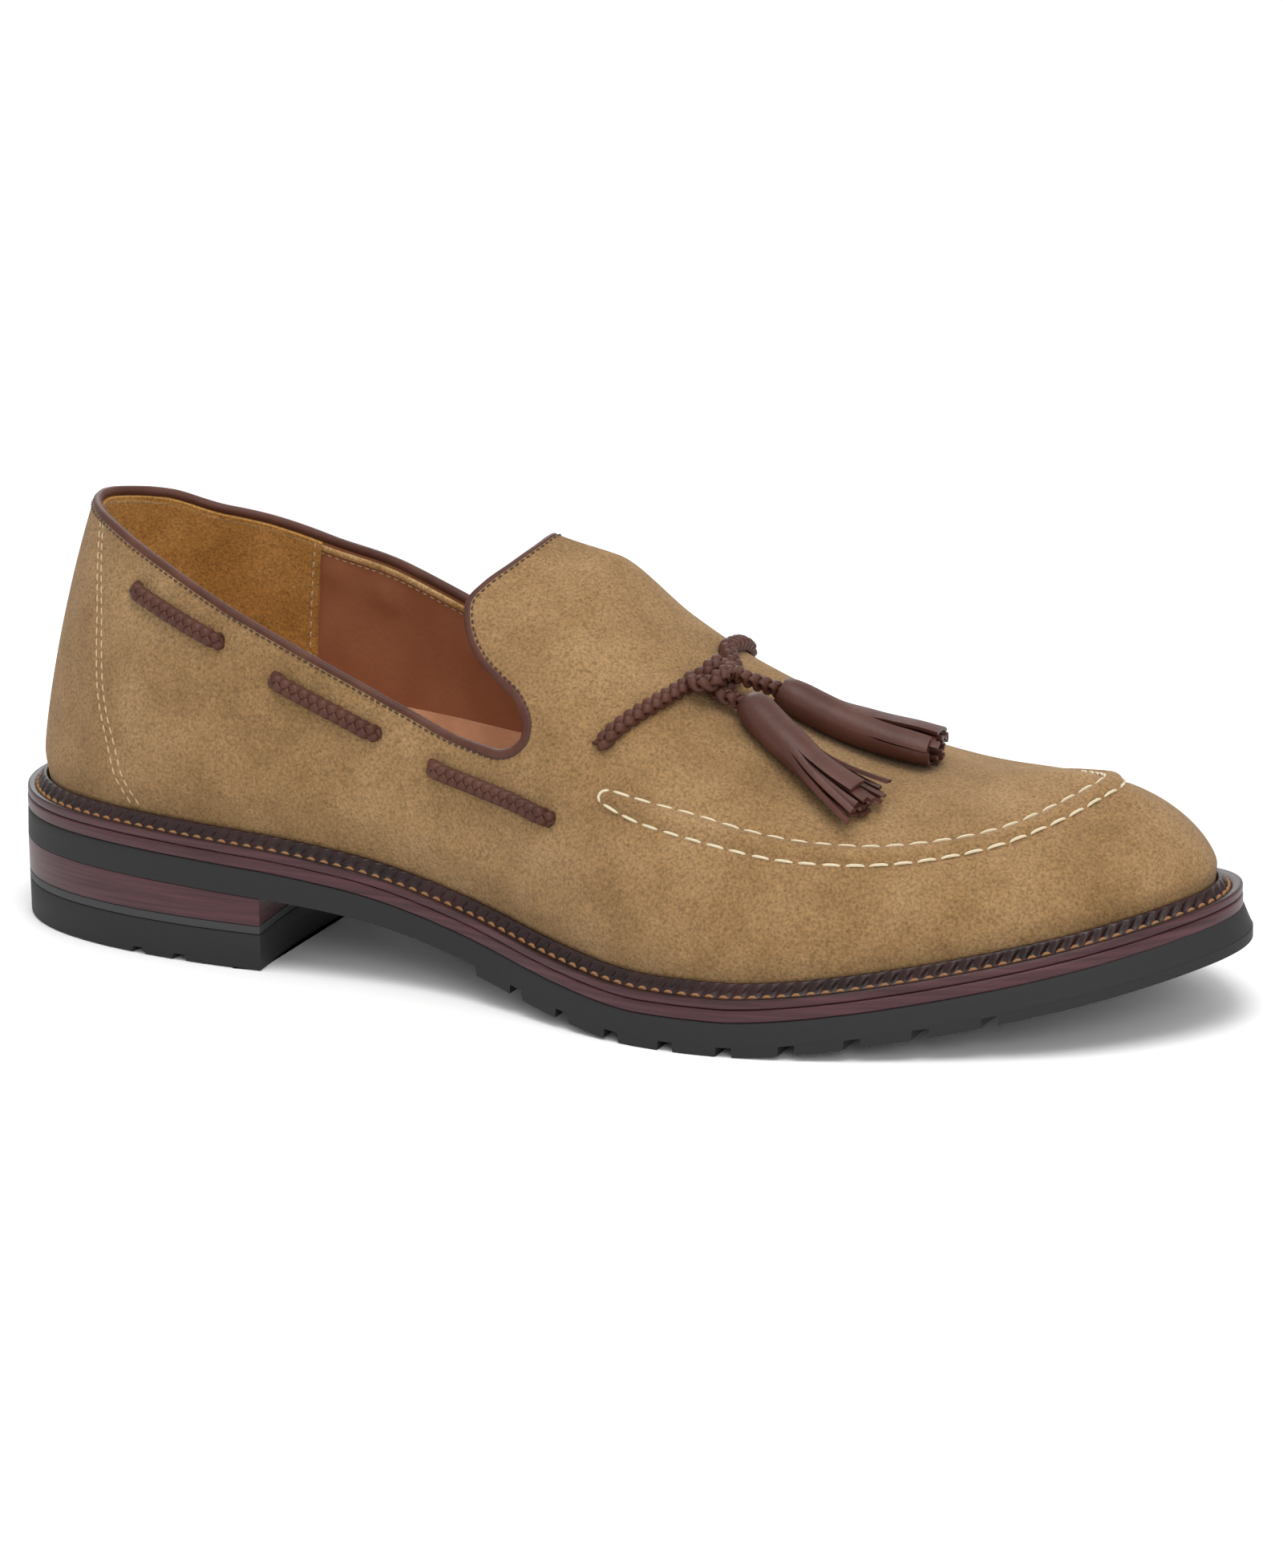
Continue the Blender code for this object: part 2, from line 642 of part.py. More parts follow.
def build_welt():
    """Storm welt: flat rim, raised lip against the upper, and the seat that the upper stands on."""
    stations = np.linspace(0.0, 1.0, 37)
    rim = loop_points(RIM, stations)
    foot = loop_points(FEATHER, stations)
    tuck = loop_points(inset(FEATHER, WELT_TUCK), stations)
    out = rim - foot
    out = out / np.linalg.norm(out, axis=1)[:, None]
    share = foot[:, 0] / LENGTH
    swell = bulge(share, LIP_RISE)[:, None]
    z = seat(foot[:, 0])
    edge_z = seat(rim[:, 0])
    tuck_z = seat(tuck[:, 0])
    lip_foot = foot + out * GAP
    lip_inner = foot + out * (GAP + swell)
    lip_outer = foot + out * (GAP + swell + LIP_TIP_WIDTH)
    lip_base = foot + out * (GAP + LIP_WIDTH)
    section = [
        (rim, edge_z - WELT),
        (rim, edge_z),
        (lip_base, z),
        (lip_outer, z + LIP_SHOULDER),
        (lip_inner, z + LIP_RISE),
        (lip_foot, z),
        (tuck, tuck_z),
        (tuck, tuck_z - WELT),
    ]
    work = bmesh.new()
    lines = [[work.verts.new((*plan[k], height[k])) for k in range(len(plan))] for plan, height in section]
    for a in range(len(lines)):
        line, after = lines[a], lines[(a + 1) % len(lines)]
        for k in range(len(line)):
            n = (k + 1) % len(line)
            work.faces.new((line[k], line[n], after[n], after[k]))
    return finish_piece("welt", work, EDGE)


QUARTER_RIBS = 19
VAMP_RIBS = 21
RIB_ROWS = np.array((0.0, 0.045, 0.16, 0.30, 0.44, 0.58, 0.72, 0.86, 1.0))
RIB_STEPS = len(RIB_ROWS) - 1
TONGUE_ROWS = 6


def quarter_stations():
    """Stations of the quarter's ribs, closer toward the throat corner."""
    u = np.linspace(0.0, 1.0, QUARTER_RIBS)
    return THROAT * (1 - (1 - u) ** 1.6)


def tongue_edge():
    """Signed station and over values along the tongue's edge, from the outer to the inner corner."""
    scale = LENGTH
    height = on_rib(-1, THROAT, 0.0)[2] + INSTEP
    half = [(e.station * scale, (1 - e.up) * height) for e in TONGUE]
    curve = open_curve(half, RIB_STEPS + 1)
    station = curve[:, 0] / scale
    over = curve[:, 1] / height
    station = np.concatenate([station, station[::-1][1:]])
    inner_corner = 1 - column(TOPLINE, "medial", THROAT)
    outer_corner = 1 - column(TOPLINE, "lateral", THROAT)
    inner = over[::-1][1:] * (inner_corner / outer_corner)
    return station, np.concatenate([-over, inner])


def opening():
    """Side, station and up along the opening's edge: outer topline, tongue, inner topline."""
    stations = quarter_stations()
    outer = [(-1, s, column(TOPLINE, "lateral", s)) for s in stations]
    tongue = [(-1 if over < 0 else 1, s, 1 - abs(over)) for s, over in zip(*tongue_edge())]
    inner = [(1, s, column(TOPLINE, "medial", s)) for s in stations[::-1]]
    return outer + tongue[1:-1] + inner[:-1]


def opening_frames():
    """For each place of the opening: point, normal, way into the leather, and the rates along the rib grid."""
    step = 0.003
    places = opening()
    points = np.array([on_rib(*place) for place in places])
    along = np.roll(points, -1, axis=0) - np.roll(points, 1, axis=0)
    frames = []
    for k, (side, station, up) in enumerate(places):
        by_station = (on_rib(side, station + step, up) - points[k]) / step
        by_up = (points[k] - on_rib(side, station, up - step)) / step
        normal = -side * np.cross(by_station, by_up)
        normal = normal / np.linalg.norm(normal)
        into = np.cross(along[k], normal)
        frames.append((points[k], normal, into / np.linalg.norm(into), by_station, by_up))
    return places, frames


def trimmed_opening(depth):
    """The opening's edge set back into the leather by a depth, as side, station and up."""
    moved = []
    for (side, station, up), (point, normal, into, by_station, by_up) in zip(*opening_frames()):
        rates = np.stack([by_station, by_up], axis=-1)
        change = np.linalg.lstsq(rates, into * depth, rcond=None)[0]
        moved.append((side, station + change[0], min(up + change[1], 1.0)))
    return moved


def upper_sheet():
    """Outer face of the upper as a welded mesh: quarters, tongue and vamp, open at the topline."""
    work = bmesh.new()

    def skin(grid):
        verts = [[work.verts.new(p) for p in row] for row in grid]
        for i in range(len(verts) - 1):
            for j in range(len(verts[0]) - 1):
                work.faces.new((verts[i][j], verts[i + 1][j], verts[i + 1][j + 1], verts[i][j + 1]))

    edge = trimmed_opening(2 * BINDING + GAP)
    stations = quarter_stations()
    count = len(stations)
    edges = {-1: edge[:count], 1: edge[:1] + edge[-count + 1:][::-1]}
    tongue = edge[count - 1:len(edge) - count + 2]
    middle = (edges[-1][-1][2] + edges[1][-1][2]) / 2
    base = {}
    for side in (-1, 1):
        grid = []
        for foot, (_, station, up) in zip(stations, edges[side]):
            grid.append([on_rib(side, foot + (station - foot) * r, up * r) for r in RIB_ROWS])
        skin(grid)
        corner, split = edges[side][-1][1:]
        rise = np.linspace(0.0, 1.0, RIB_STEPS + 1)[1:]
        ups = np.concatenate([split * RIB_ROWS, split + (1 - split) * rise])
        places = np.concatenate([THROAT + (corner - THROAT) * RIB_ROWS, corner + (THROAT - corner) * rise])
        end = np.concatenate([middle * RIB_ROWS, middle + (1 - middle) * rise])
        base[side] = list(zip(places, ups))[RIB_STEPS:]
        grid = []
        for share in np.linspace(0.0, 1.0, VAMP_RIBS):
            rows = zip(places, ups, end)
            grid.append([on_rib(side, s + (1 - s) * share, u + (e - u) * share) for s, u, e in rows])
        skin(grid)
    foot = [(s, u - 1) for s, u in base[-1]] + [(s, 1 - u) for s, u in base[1][::-1][1:]]
    tip = [(s, -side * (u - 1)) for side, s, u in tongue]
    grid = []
    for share in np.linspace(0.0, 1.0, TONGUE_ROWS + 1):
        line = []
        for (from_s, from_over), (to_s, to_over) in zip(foot, tip):
            over = from_over + (to_over - from_over) * share
            station = from_s + (to_s - from_s) * share
            line.append(on_rib(-1 if over < 0 else 1, station, 1 - abs(over)))
        grid.append(line)
    skin(grid)
    bmesh.ops.remove_doubles(work, verts=work.verts, dist=2e-5)
    bmesh.ops.dissolve_degenerate(work, edges=work.edges, dist=2e-5)
    bmesh.ops.recalc_face_normals(work, faces=work.faces)
    return work


def build_upper():
    """Hollow suede shell with its lining, one wall of even thickness."""
    piece = finish_piece("upper", upper_sheet(), SUEDE, 2e-5)
    wall = piece.modifiers.new("wall", "SOLIDIFY")
    wall.thickness = WALL
    wall.offset = -1.0
    wall.use_even_offset = True
    wall.use_quality_normals = True
    wall.use_rim = True
    return piece


def build_binding():
    """Piping round the opening, over the middle of the wall."""
    frames = opening_frames()[1]
    path = np.array([f[0] + f[2] * BINDING - f[1] * WALL / 2 for f in frames])
    normals = np.array([f[1] for f in frames])
    round_bar = np.full(len(path), BINDING)
    return sweep("collar_binding", TRIM, path, normals, round_bar, round_bar, 8, True)


def lay(name, finish, places, shares, half_width, half_height, lift, sides=8):
    """Solid laid on the upper along places in order, with its sections at shares of the way."""
    scale = (LENGTH, INSTEP * 2)
    route = [(p.station * scale[0], p.over * scale[1]) for p in places]
    if len(route) == 2:
        fine = np.linspace(route[0], route[1], 101)
    else:
        fine = open_curve(route, 101)
    at = np.stack([np.interp(shares, np.linspace(0.0, 1.0, 101), fine[:, k]) for k in range(2)], axis=-1)
    found = [on_vamp(Place(a / scale[0], b / scale[1])) for a, b in at]
    points = np.array([p for p, n in found])
    normals = np.array([n for p, n in found])
    lift = np.broadcast_to(lift, len(shares))[:, None]
    size = np.ones(len(shares))
    return sweep(name, finish, points + normals * lift, normals, half_width * size, half_height * size, sides)


def build_quarter_laces():
    """Three braided stretches on each quarter, each between two slits."""
    shares = np.linspace(0.0, 1.0, 9)
    for side, name, table in ((-1, "lateral", LATERAL_STRETCHES), (1, "medial", MEDIAL_STRETCHES)):
        for k, row in enumerate(table):
            start = Place(row.start, side * (1 - row.start_up))
            end = Place(row.end, side * (1 - row.end_up))
            lay(f"side_lace_{name}_{k + 1}", TRIM, (start, end), shares,
                LACE / 2, LACE_HEIGHT / 2, LACE_HEIGHT / 2 + GAP)


def between(start, end, share):
    """Place at a share of the way from one place to another."""
    station = start.station + (end.station - start.station) * share
    return Place(station, start.over + (end.over - start.over) * share)


def span(start, end):
    """Straight distance between two places of the vamp."""
    return np.linalg.norm(on_vamp(end)[0] - on_vamp(start)[0])


def knot_ends():
    """Two places at the back and the front of the knot, along the shoe."""
    step = KNOT / LENGTH * KNOT_REACH
    rear = Place(KNOT_PLACE.station - step, KNOT_PLACE.over)
    return rear, Place(KNOT_PLACE.station + step, KNOT_PLACE.over)


def build_tie():
    """Two bars of lace from the vamp's holes to the knot, the knot and the short end to each tassel."""
    half_height = LACE_HEIGHT / 2
    for name, hole in (("lateral", LATERAL_HOLE), ("medial", MEDIAL_HOLE)):
        room = KNOT_SIDE * KNOT + GAP
        stop = between(hole, KNOT_PLACE, 1 - room / span(hole, KNOT_PLACE))
        lay(f"vamp_lace_{name}", TRIM, (hole, stop), np.linspace(0.0, 1.0, 9),
            LACE / 2, half_height, half_height + GAP)
    rear, front = knot_ends()
    laid_sections("lace_knot", TRIM, (rear, front), KNOT_SECTIONS, KNOT)
    for name, side, tassel in (("lateral", -1, TASSEL_LATERAL), ("medial", 1, TASSEL_MEDIAL)):
        leave = Place(front.station, front.over + side * KNOT_EXIT)
        elbow, stop = [between(*tassel, -back / span(*tassel)) for back in (LACE_END_BEND, LACE_END_GAP)]
        start = between(leave, elbow, LACE_END_GAP / span(leave, elbow))
        lace_end(f"lace_end_{name}", (start, elbow, stop))


def lace_end(name, places):
    """Short round end of the lace from the knot to a tassel, over the vamp."""
    points = []
    for place in places:
        point, normal = on_vamp(place)
        points.append(point + normal * (LACE_END_LIFT + GAP))
    curve = bpy.data.curves.new(name, "CURVE")
    curve.dimensions = "3D"
    curve.bevel_depth = LACE_END / 2
    curve.bevel_resolution = 2
    curve.use_fill_caps = True
    spline = curve.splines.new("POLY")
    spline.points.add(len(points) - 1)
    for spot, point in zip(spline.points, points):
        spot.co = (*point, 1.0)
    curve.materials.append(TRIM)
    piece = bpy.data.objects.new(name, curve)
    piece.parent = ROOT
    bpy.context.scene.collection.objects.link(piece)


def laid_sections(name, finish, places, table, width):
    """Solid laid on the upper through the sections of a table."""
    shares = np.array([row.along for row in table])
    half_width = np.array([row.half_width for row in table]) * width
    half_height = np.array([row.half_height for row in table]) * width
    lift = np.array([row.lift for row in table]) * width + GAP
    return lay(name, finish, places, shares, half_width, half_height, lift, 10)


def build_tassels():
    """Leather tassels: a wrapped head, a neck and a fringe that spreads over the vamp."""
    for name, (start, toward) in (("lateral", TASSEL_LATERAL), ("medial", TASSEL_MEDIAL)):
        end = between(start, toward, TASSEL_LENGTH / span(start, toward))
        laid_sections(f"tassel_{name}", TRIM, (start, end), TASSEL, TASSEL_WIDTH)


build_outsole()
build_heel()
build_midsole()
build_welt()
build_insole()
build_upper()
build_binding()
build_quarter_laces()
build_tie()
build_tassels()
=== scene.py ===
# %% [markdown]
# A tassel loafer for the right foot: tan suede on a welted rubber sole, with a braided lace and
# two leather tassels.
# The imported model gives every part's size and place. This script keeps those and adds what the eye
# sees: nap, stitches, plaits, fringe and edges.

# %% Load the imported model
import math
from collections import namedtuple

import bmesh
import bpy
import numpy as np
from mathutils import Matrix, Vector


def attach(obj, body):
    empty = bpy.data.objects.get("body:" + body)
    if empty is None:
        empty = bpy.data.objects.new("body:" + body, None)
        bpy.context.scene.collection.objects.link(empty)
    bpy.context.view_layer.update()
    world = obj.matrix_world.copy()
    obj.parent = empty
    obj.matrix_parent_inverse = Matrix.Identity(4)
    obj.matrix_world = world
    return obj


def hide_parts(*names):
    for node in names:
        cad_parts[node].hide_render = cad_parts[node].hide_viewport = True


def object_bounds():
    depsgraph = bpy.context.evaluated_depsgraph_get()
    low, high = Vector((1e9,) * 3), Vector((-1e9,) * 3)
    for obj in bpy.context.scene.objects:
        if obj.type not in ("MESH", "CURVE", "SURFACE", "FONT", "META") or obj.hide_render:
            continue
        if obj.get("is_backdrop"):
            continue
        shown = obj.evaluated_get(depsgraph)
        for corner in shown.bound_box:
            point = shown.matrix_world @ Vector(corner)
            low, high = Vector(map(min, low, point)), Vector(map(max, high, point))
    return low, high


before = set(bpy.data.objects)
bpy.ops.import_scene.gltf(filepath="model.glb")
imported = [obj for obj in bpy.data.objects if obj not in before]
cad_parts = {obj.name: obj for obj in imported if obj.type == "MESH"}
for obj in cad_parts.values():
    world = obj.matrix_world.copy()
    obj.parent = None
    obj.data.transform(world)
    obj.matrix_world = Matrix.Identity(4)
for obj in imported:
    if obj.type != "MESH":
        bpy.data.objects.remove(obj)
CAD_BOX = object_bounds()
print("nodes in the frame:", len(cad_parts))

# %% [markdown]
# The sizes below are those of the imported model, in metres. They drive the last, the block that a
# shoe is made on, so every fine surface in this lesson is worked out from the same few numbers.

# %% Driving sizes
MM = 0.001
LENGTH = 0.303
BALL_WIDTH = 0.112
INSTEP = 0.070
HEEL_HEIGHT = 0.0313
BALL_HEIGHT = 0.0130
TOE_SPRING = 0.0175
WALL = 0.0021
WELT = 0.0022
WELT_REVEAL = 0.0052
WELT_TUCK = 0.0031
LIP_RISE = 0.0028
MIDSOLE = 0.0030
SOLE = 0.0056
LUG = 0.0022
TOE_FLARE = 0.0023
BINDING = 0.0012
GAP = 0.0003
TOP_PIECE = 0.0088
RAND = 0.0020
BREAST = 0.0790
BREAST_HOLLOW = 0.0025
BREAST_BAND = 0.0060
HEEL_NOTCH = 0.0035
HEEL_NOTCH_DEPTH = 0.0016
HEEL_NOTCH_SHARES = (0.552, 0.703)
TREAD_START = 0.1364
TREAD_PITCH = 0.0140
TREAD_NOTCH = 0.0034
TREAD_NOTCHES = 9
LACE = 0.0038
LACE_HEIGHT = 0.0027
TASSEL_LENGTH = 0.0400
SPRING_START = 0.672
SPRING_POWER = 1.40
HEEL_POLE = 0.158
TOE_POLE = 0.865

# %% [markdown]
# A shoe has no straight edge, so its outline, shank and ribs are tables of chosen shares.
# A share keeps its meaning when a size changes: 0.5 along is always half the length.

# %% Tables of the last
Corner = namedtuple("Corner", "along across")
OUTLINE = (
    Corner(0.000, 0.000), Corner(0.030, -0.195), Corner(0.110, -0.312), Corner(0.240, -0.355),
    Corner(0.380, -0.350), Corner(0.470, -0.405), Corner(0.560, -0.495), Corner(0.650, -0.525),
    Corner(0.740, -0.480), Corner(0.830, -0.385), Corner(0.920, -0.250), Corner(0.980, -0.075),
    Corner(1.000, 0.075), Corner(0.978, 0.250), Corner(0.910, 0.405), Corner(0.810, 0.487),
    Corner(0.700, 0.492), Corner(0.600, 0.415), Corner(0.480, 0.290), Corner(0.370, 0.248),
    Corner(0.240, 0.295), Corner(0.110, 0.312), Corner(0.030, 0.205),
)
Shank = namedtuple("Shank", "along rise sole")
SHANK = (
    Shank(0.00, 1.000, 1.20), Shank(0.12, 0.980, 1.20), Shank(0.25, 0.900, 1.16),
    Shank(0.33, 0.760, 1.06), Shank(0.43, 0.440, 1.00), Shank(0.53, 0.135, 1.00),
    Shank(0.61, 0.000, 1.00), Shank(1.00, 0.000, 1.00),
)
Margin = namedtuple("Margin", "along reveal flare")
MARGINS = (
    Margin(0.00, 1.08, 0.10), Margin(0.10, 0.96, 0.10), Margin(0.30, 0.92, 0.10),
    Margin(0.60, 1.08, 0.20), Margin(0.80, 1.12, 0.35), Margin(0.93, 1.18, 0.75),
    Margin(1.00, 1.20, 1.00),
)
Rib = namedtuple("Rib", "along spine across widest bulge lateral medial")
RIBS = (
    Rib(0.00, 1.75, 0.000, 0.114, 0.004, 1.15, 1.15),
    Rib(0.06, 1.70, 0.000, 0.128, 0.011, 1.30, 1.30),
    Rib(0.16, 1.55, 0.002, 0.171, 0.023, 1.66, 1.78),
    Rib(0.25, 1.38, 0.008, 0.200, 0.030, 1.84, 2.10),
    Rib(0.36, 1.20, 0.018, 0.214, 0.032, 1.88, 2.15),
    Rib(0.46, 1.130, 0.030, 0.186, 0.027, 1.88, 2.00),
    Rib(0.50, 1.120, 0.035, 0.172, 0.024, 1.88, 1.98),
    Rib(0.55, 0.974, 0.040, 0.157, 0.020, 1.88, 1.95),
    Rib(0.61, 0.812, 0.044, 0.129, 0.016, 2.00, 2.00),
    Rib(0.68, 0.648, 0.045, 0.114, 0.014, 2.16, 2.00),
    Rib(0.76, 0.532, 0.046, 0.107, 0.013, 2.28, 1.96),
    Rib(0.85, 0.482, 0.056, 0.100, 0.011, 2.12, 2.04),
    Rib(0.93, 0.430, 0.065, 0.086, 0.005, 1.60, 1.60),
    Rib(1.00, 0.390, 0.070, 0.071, 0.002, 1.20, 1.20),
)
Topline = namedtuple("Topline", "station lateral medial")
TOPLINE = (
    Topline(0.000, 0.590, 0.590),
    Topline(0.025, 0.589, 0.588),
    Topline(0.060, 0.587, 0.583),
    Topline(0.130, 0.578, 0.573),
    Topline(0.203, 0.556, 0.549),
    Topline(0.295, 0.508, 0.553),
    Topline(0.357, 0.470, 0.578),
    Topline(0.422, 0.426, 0.562),
    Topline(0.457, 0.404, 0.512),
    Topline(0.475, 0.403, 0.484),
    Topline(0.485, 0.419, 0.478),
    Topline(0.490, 0.445, 0.495),
)
Edge = namedtuple("Edge", "station up")
TONGUE = (
    Edge(0.490, 0.445),
    Edge(0.4895, 0.479),
    Edge(0.481, 0.523),
    Edge(0.468, 0.551),
    Edge(0.457, 0.576),
    Edge(0.447, 0.610),
    Edge(0.439, 0.654),
    Edge(0.433, 0.715),
    Edge(0.436, 0.773),
    Edge(0.442, 0.849),
    Edge(0.444, 0.930),
    Edge(0.441, 1.000),
)
THROAT = TOPLINE[-1].station

# %% [markdown]
# Two kinds of smooth curve are needed. A table is read through a cubic that never overshoots its
# rows, and the outline runs through a closed cubic spline, because a shoe's edge has no kinks.

# %% Curves through tables and points
def column(table, name, share):
    """Cubic of Hermite pieces through one column, slopes by the harmonic mean, no overshoot."""
    x = np.array([row[0] for row in table])
    y = np.array([getattr(row, name) for row in table])
    width = np.diff(x)
    rise = np.diff(y) / width
    slope = np.zeros(len(x))
    for k in range(1, len(x) - 1):
        if rise[k - 1] * rise[k] > 0.0:
            before = 2 * width[k] + width[k - 1]
            after = width[k] + 2 * width[k - 1]
            slope[k] = (before + after) / (before / rise[k - 1] + after / rise[k])
    slope[0] = rise[0]
    slope[-1] = rise[-1]
    share = np.clip(share, x[0], x[-1])
    k = np.clip(np.searchsorted(x, share, side="right") - 1, 0, len(x) - 2)
    u = (share - x[k]) / width[k]
    start = (1 + 2 * u) * (1 - u) ** 2 * y[k] + u * (1 - u) ** 2 * width[k] * slope[k]
    end = u * u * (3 - 2 * u) * y[k + 1] + u * u * (u - 1) * width[k] * slope[k + 1]
    return start + end


def closed_curve(points, count):
    """Periodic cubic spline; a knot's spacing is the root of its chord."""
    p = np.array(points, float)
    loop = np.vstack([p, p[:1]])
    step = np.sqrt(np.linalg.norm(np.diff(loop, axis=0), axis=1))
    knot = np.concatenate([[0.0], np.cumsum(step)])
    n = len(p)
    rows = np.zeros((n, n))
    right = np.zeros((n, 2))
    for i in range(n):
        rows[i, i - 1] += step[i - 1]
        rows[i, i] += 2 * (step[i - 1] + step[i])
        rows[i, (i + 1) % n] += step[i]
        right[i] = 6 * ((loop[i + 1] - loop[i]) / step[i] - (p[i] - p[i - 1]) / step[i - 1])
    bend = np.linalg.solve(rows, right)
    bend = np.vstack([bend, bend[:1]])
    t = np.linspace(0.0, knot[-1], count, endpoint=False)
    k = np.clip(np.searchsorted(knot, t, side="right") - 1, 0, n - 1)
    h = step[k][:, None]
    b = ((t - knot[k]) / step[k])[:, None]
    a = 1 - b
    curve = a * loop[k] + b * loop[k + 1]
    return curve + ((a**3 - a) * bend[k] + (b**3 - b) * bend[k + 1]) * h * h / 6


def even(points, count):
    """Points at even shares of a polyline's length."""
    run = np.concatenate([[0.0], np.cumsum(np.linalg.norm(np.diff(points, axis=0), axis=1))])
    at = np.linspace(0.0, run[-1], count)
    return np.stack([np.interp(at, run, points[:, k]) for k in range(points.shape[1])], axis=-1)


def open_curve(points, count):
    """Hermite curve with finite-difference slopes, read at even shares of its length."""
    p = np.array(points, float)
    step = np.sqrt(np.linalg.norm(np.diff(p, axis=0), axis=1))
    knot = np.concatenate([[0.0], np.cumsum(step)])
    slope = np.gradient(p, knot, axis=0)
    t = np.linspace(0.0, knot[-1], 40 * len(p))
    k = np.clip(np.searchsorted(knot, t, side="right") - 1, 0, len(p) - 2)
    h = step[k][:, None]
    u = ((t - knot[k]) / step[k])[:, None]
    fine = (1 + 2 * u) * (1 - u) ** 2 * p[k] + u * (1 - u) ** 2 * h * slope[k]
    fine = fine + u * u * (3 - 2 * u) * p[k + 1] + u * u * (u - 1) * h * slope[k + 1]
    return even(fine, count)


# %% [markdown]
# The sole's plates are loops in plan. The feather line, where the suede meets the sole, could be
# drawn by itself, but it is the outline moved inward here, so the welt keeps its width when the
# outline changes. The height of the rim comes from the shank and the toe's spring.

# %% Loops in plan
def inset(loop, depth):
    """Closed anticlockwise loop moved inward along its normals."""
    along = np.roll(loop, -1, axis=0) - np.roll(loop, 1, axis=0)
    along = along / np.linalg.norm(along, axis=1)[:, None]
    inward = np.stack([-along[:, 1], along[:, 0]], axis=-1)
    return loop + inward * np.broadcast_to(depth, len(loop))[:, None]


def halves(loop):
    """Outer and inner half of a loop, both from heel to toe."""
    heel = loop[:, 0].argmin()
    toe = loop[:, 0].argmax()
    n = len(loop)
    outer = loop[np.arange(heel, toe + 1 + (n if toe < heel else 0)) % n]
    inner = loop[np.arange(toe, heel + 1 + (n if heel < toe else 0)) % n][::-1]
    return outer, inner


OUTER = closed_curve([(c.along * LENGTH, c.across * BALL_WIDTH) for c in OUTLINE], 2880)
OUTER_SHARE = OUTER[:, 0] / LENGTH
FLARE = TOE_FLARE * column(MARGINS, "flare", OUTER_SHARE)
RIM = inset(OUTER, FLARE)
FEATHER = inset(RIM, WELT_REVEAL * column(MARGINS, "reveal", OUTER_SHARE))
CENTRE = np.array([(OUTER[:, 0].min() + OUTER[:, 0].max()) / 2,
                   (OUTER[:, 1].min() + OUTER[:, 1].max()) / 2, 0.0])


def seat(x):
    """Rim height over the floor: shank curve plus a power curve at the toe."""
    share = np.asarray(x) / LENGTH
    rise = (HEEL_HEIGHT - BALL_HEIGHT) * column(SHANK, "rise", share)
    ahead = np.clip((share - SPRING_START) / (1 - SPRING_START), 0.0, None)
    return BALL_HEIGHT + rise + TOE_SPRING * ahead**SPRING_POWER


def sole_under(x):
    """Height of the outsole's plain underside."""
    return seat(x) - WELT - MIDSOLE - SOLE * column(SHANK, "sole", np.asarray(x) / LENGTH)


print("outline", np.round(np.ptp(OUTER, axis=0) / MM, 1), "mm")

# %% [markdown]
# The camera stands where the photograph's did. Its angles and distance come from lining up the
# sole's outline with the picture; the small shift frames the shoe as the picture does.

# %% Camera
AZIMUTH = math.radians(25.53)
ELEVATION = math.radians(15.97)
ROLL = math.radians(-1.26)
DISTANCE = 1.6199
LENS = 161.4
TARGET = np.array([0.150, 0.0, 0.045]) - CENTRE
FRAME_SHIFT = (0.0219, -0.0084)

back = np.array([math.sin(AZIMUTH) * math.cos(ELEVATION),
                 -math.cos(AZIMUTH) * math.cos(ELEVATION), math.sin(ELEVATION)])
level_right = np.array([math.cos(AZIMUTH), math.sin(AZIMUTH), 0.0])
level_up = np.cross(back, level_right)
right = level_right * math.cos(ROLL) + level_up * math.sin(ROLL)
up = -level_right * math.sin(ROLL) + level_up * math.cos(ROLL)
lens = bpy.data.cameras.new("camera")
lens.lens = LENS
lens.sensor_width = 36.0
lens.shift_x, lens.shift_y = FRAME_SHIFT
lens.clip_end = 20.0
camera = bpy.data.objects.new("camera", lens)
turn = np.eye(4)
turn[:3, 0] = right
turn[:3, 1] = up
turn[:3, 2] = back
turn[:3, 3] = TARGET + back * DISTANCE
camera.matrix_world = Matrix(turn.tolist())
bpy.context.scene.collection.objects.link(camera)
bpy.context.scene.camera = camera
print("camera at", np.round(turn[:3, 3], 3))

# %% [markdown]
# The photograph has an even white ground and soft light from above the toe. A large pale floor, a
# pale sky and three broad lamps give the same: one over the shoe, one in front, one behind.

# %% Floor and light
def stage_floor():
    """A square of the plane z = 0, wide enough to fill any view."""
    mesh = bpy.data.meshes.new("floor")
    half = 6.0
    mesh.from_pydata([(-half, -half, 0), (half, -half, 0), (half, half, 0), (-half, half, 0)], [],
                     [(0, 1, 2, 3)])
    floor = bpy.data.objects.new("floor", mesh)
    bpy.context.scene.collection.objects.link(floor)
    paint = bpy.data.materials.new("floor_paint")
    paint.use_nodes = True
    shader = paint.node_tree.nodes["Principled BSDF"]
    shader.inputs["Base Color"].default_value = (0.93, 0.93, 0.93, 1.0)
    shader.inputs["Roughness"].default_value = 0.9
    mesh.materials.append(paint)
    floor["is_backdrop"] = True


def lamp(name, place, aim, size, power):
    """Square area lamp turned so that its own -Z runs from place to aim."""
    light = bpy.data.lights.new(name, "AREA")
    light.size = size
    light.energy = power
    lamp_object = bpy.data.objects.new(name, light)
    away = np.array(place, float) - np.array(aim, float)
    away = away / np.linalg.norm(away)
    side = np.cross((0.0, 0.0, 1.0), away)
    side = side / np.linalg.norm(side)
    rows = np.eye(4)
    rows[:3, 0] = side
    rows[:3, 1] = np.cross(away, side)
    rows[:3, 2] = away
    rows[:3, 3] = place
    lamp_object.matrix_world = Matrix(rows.tolist())
    bpy.context.scene.collection.objects.link(lamp_object)


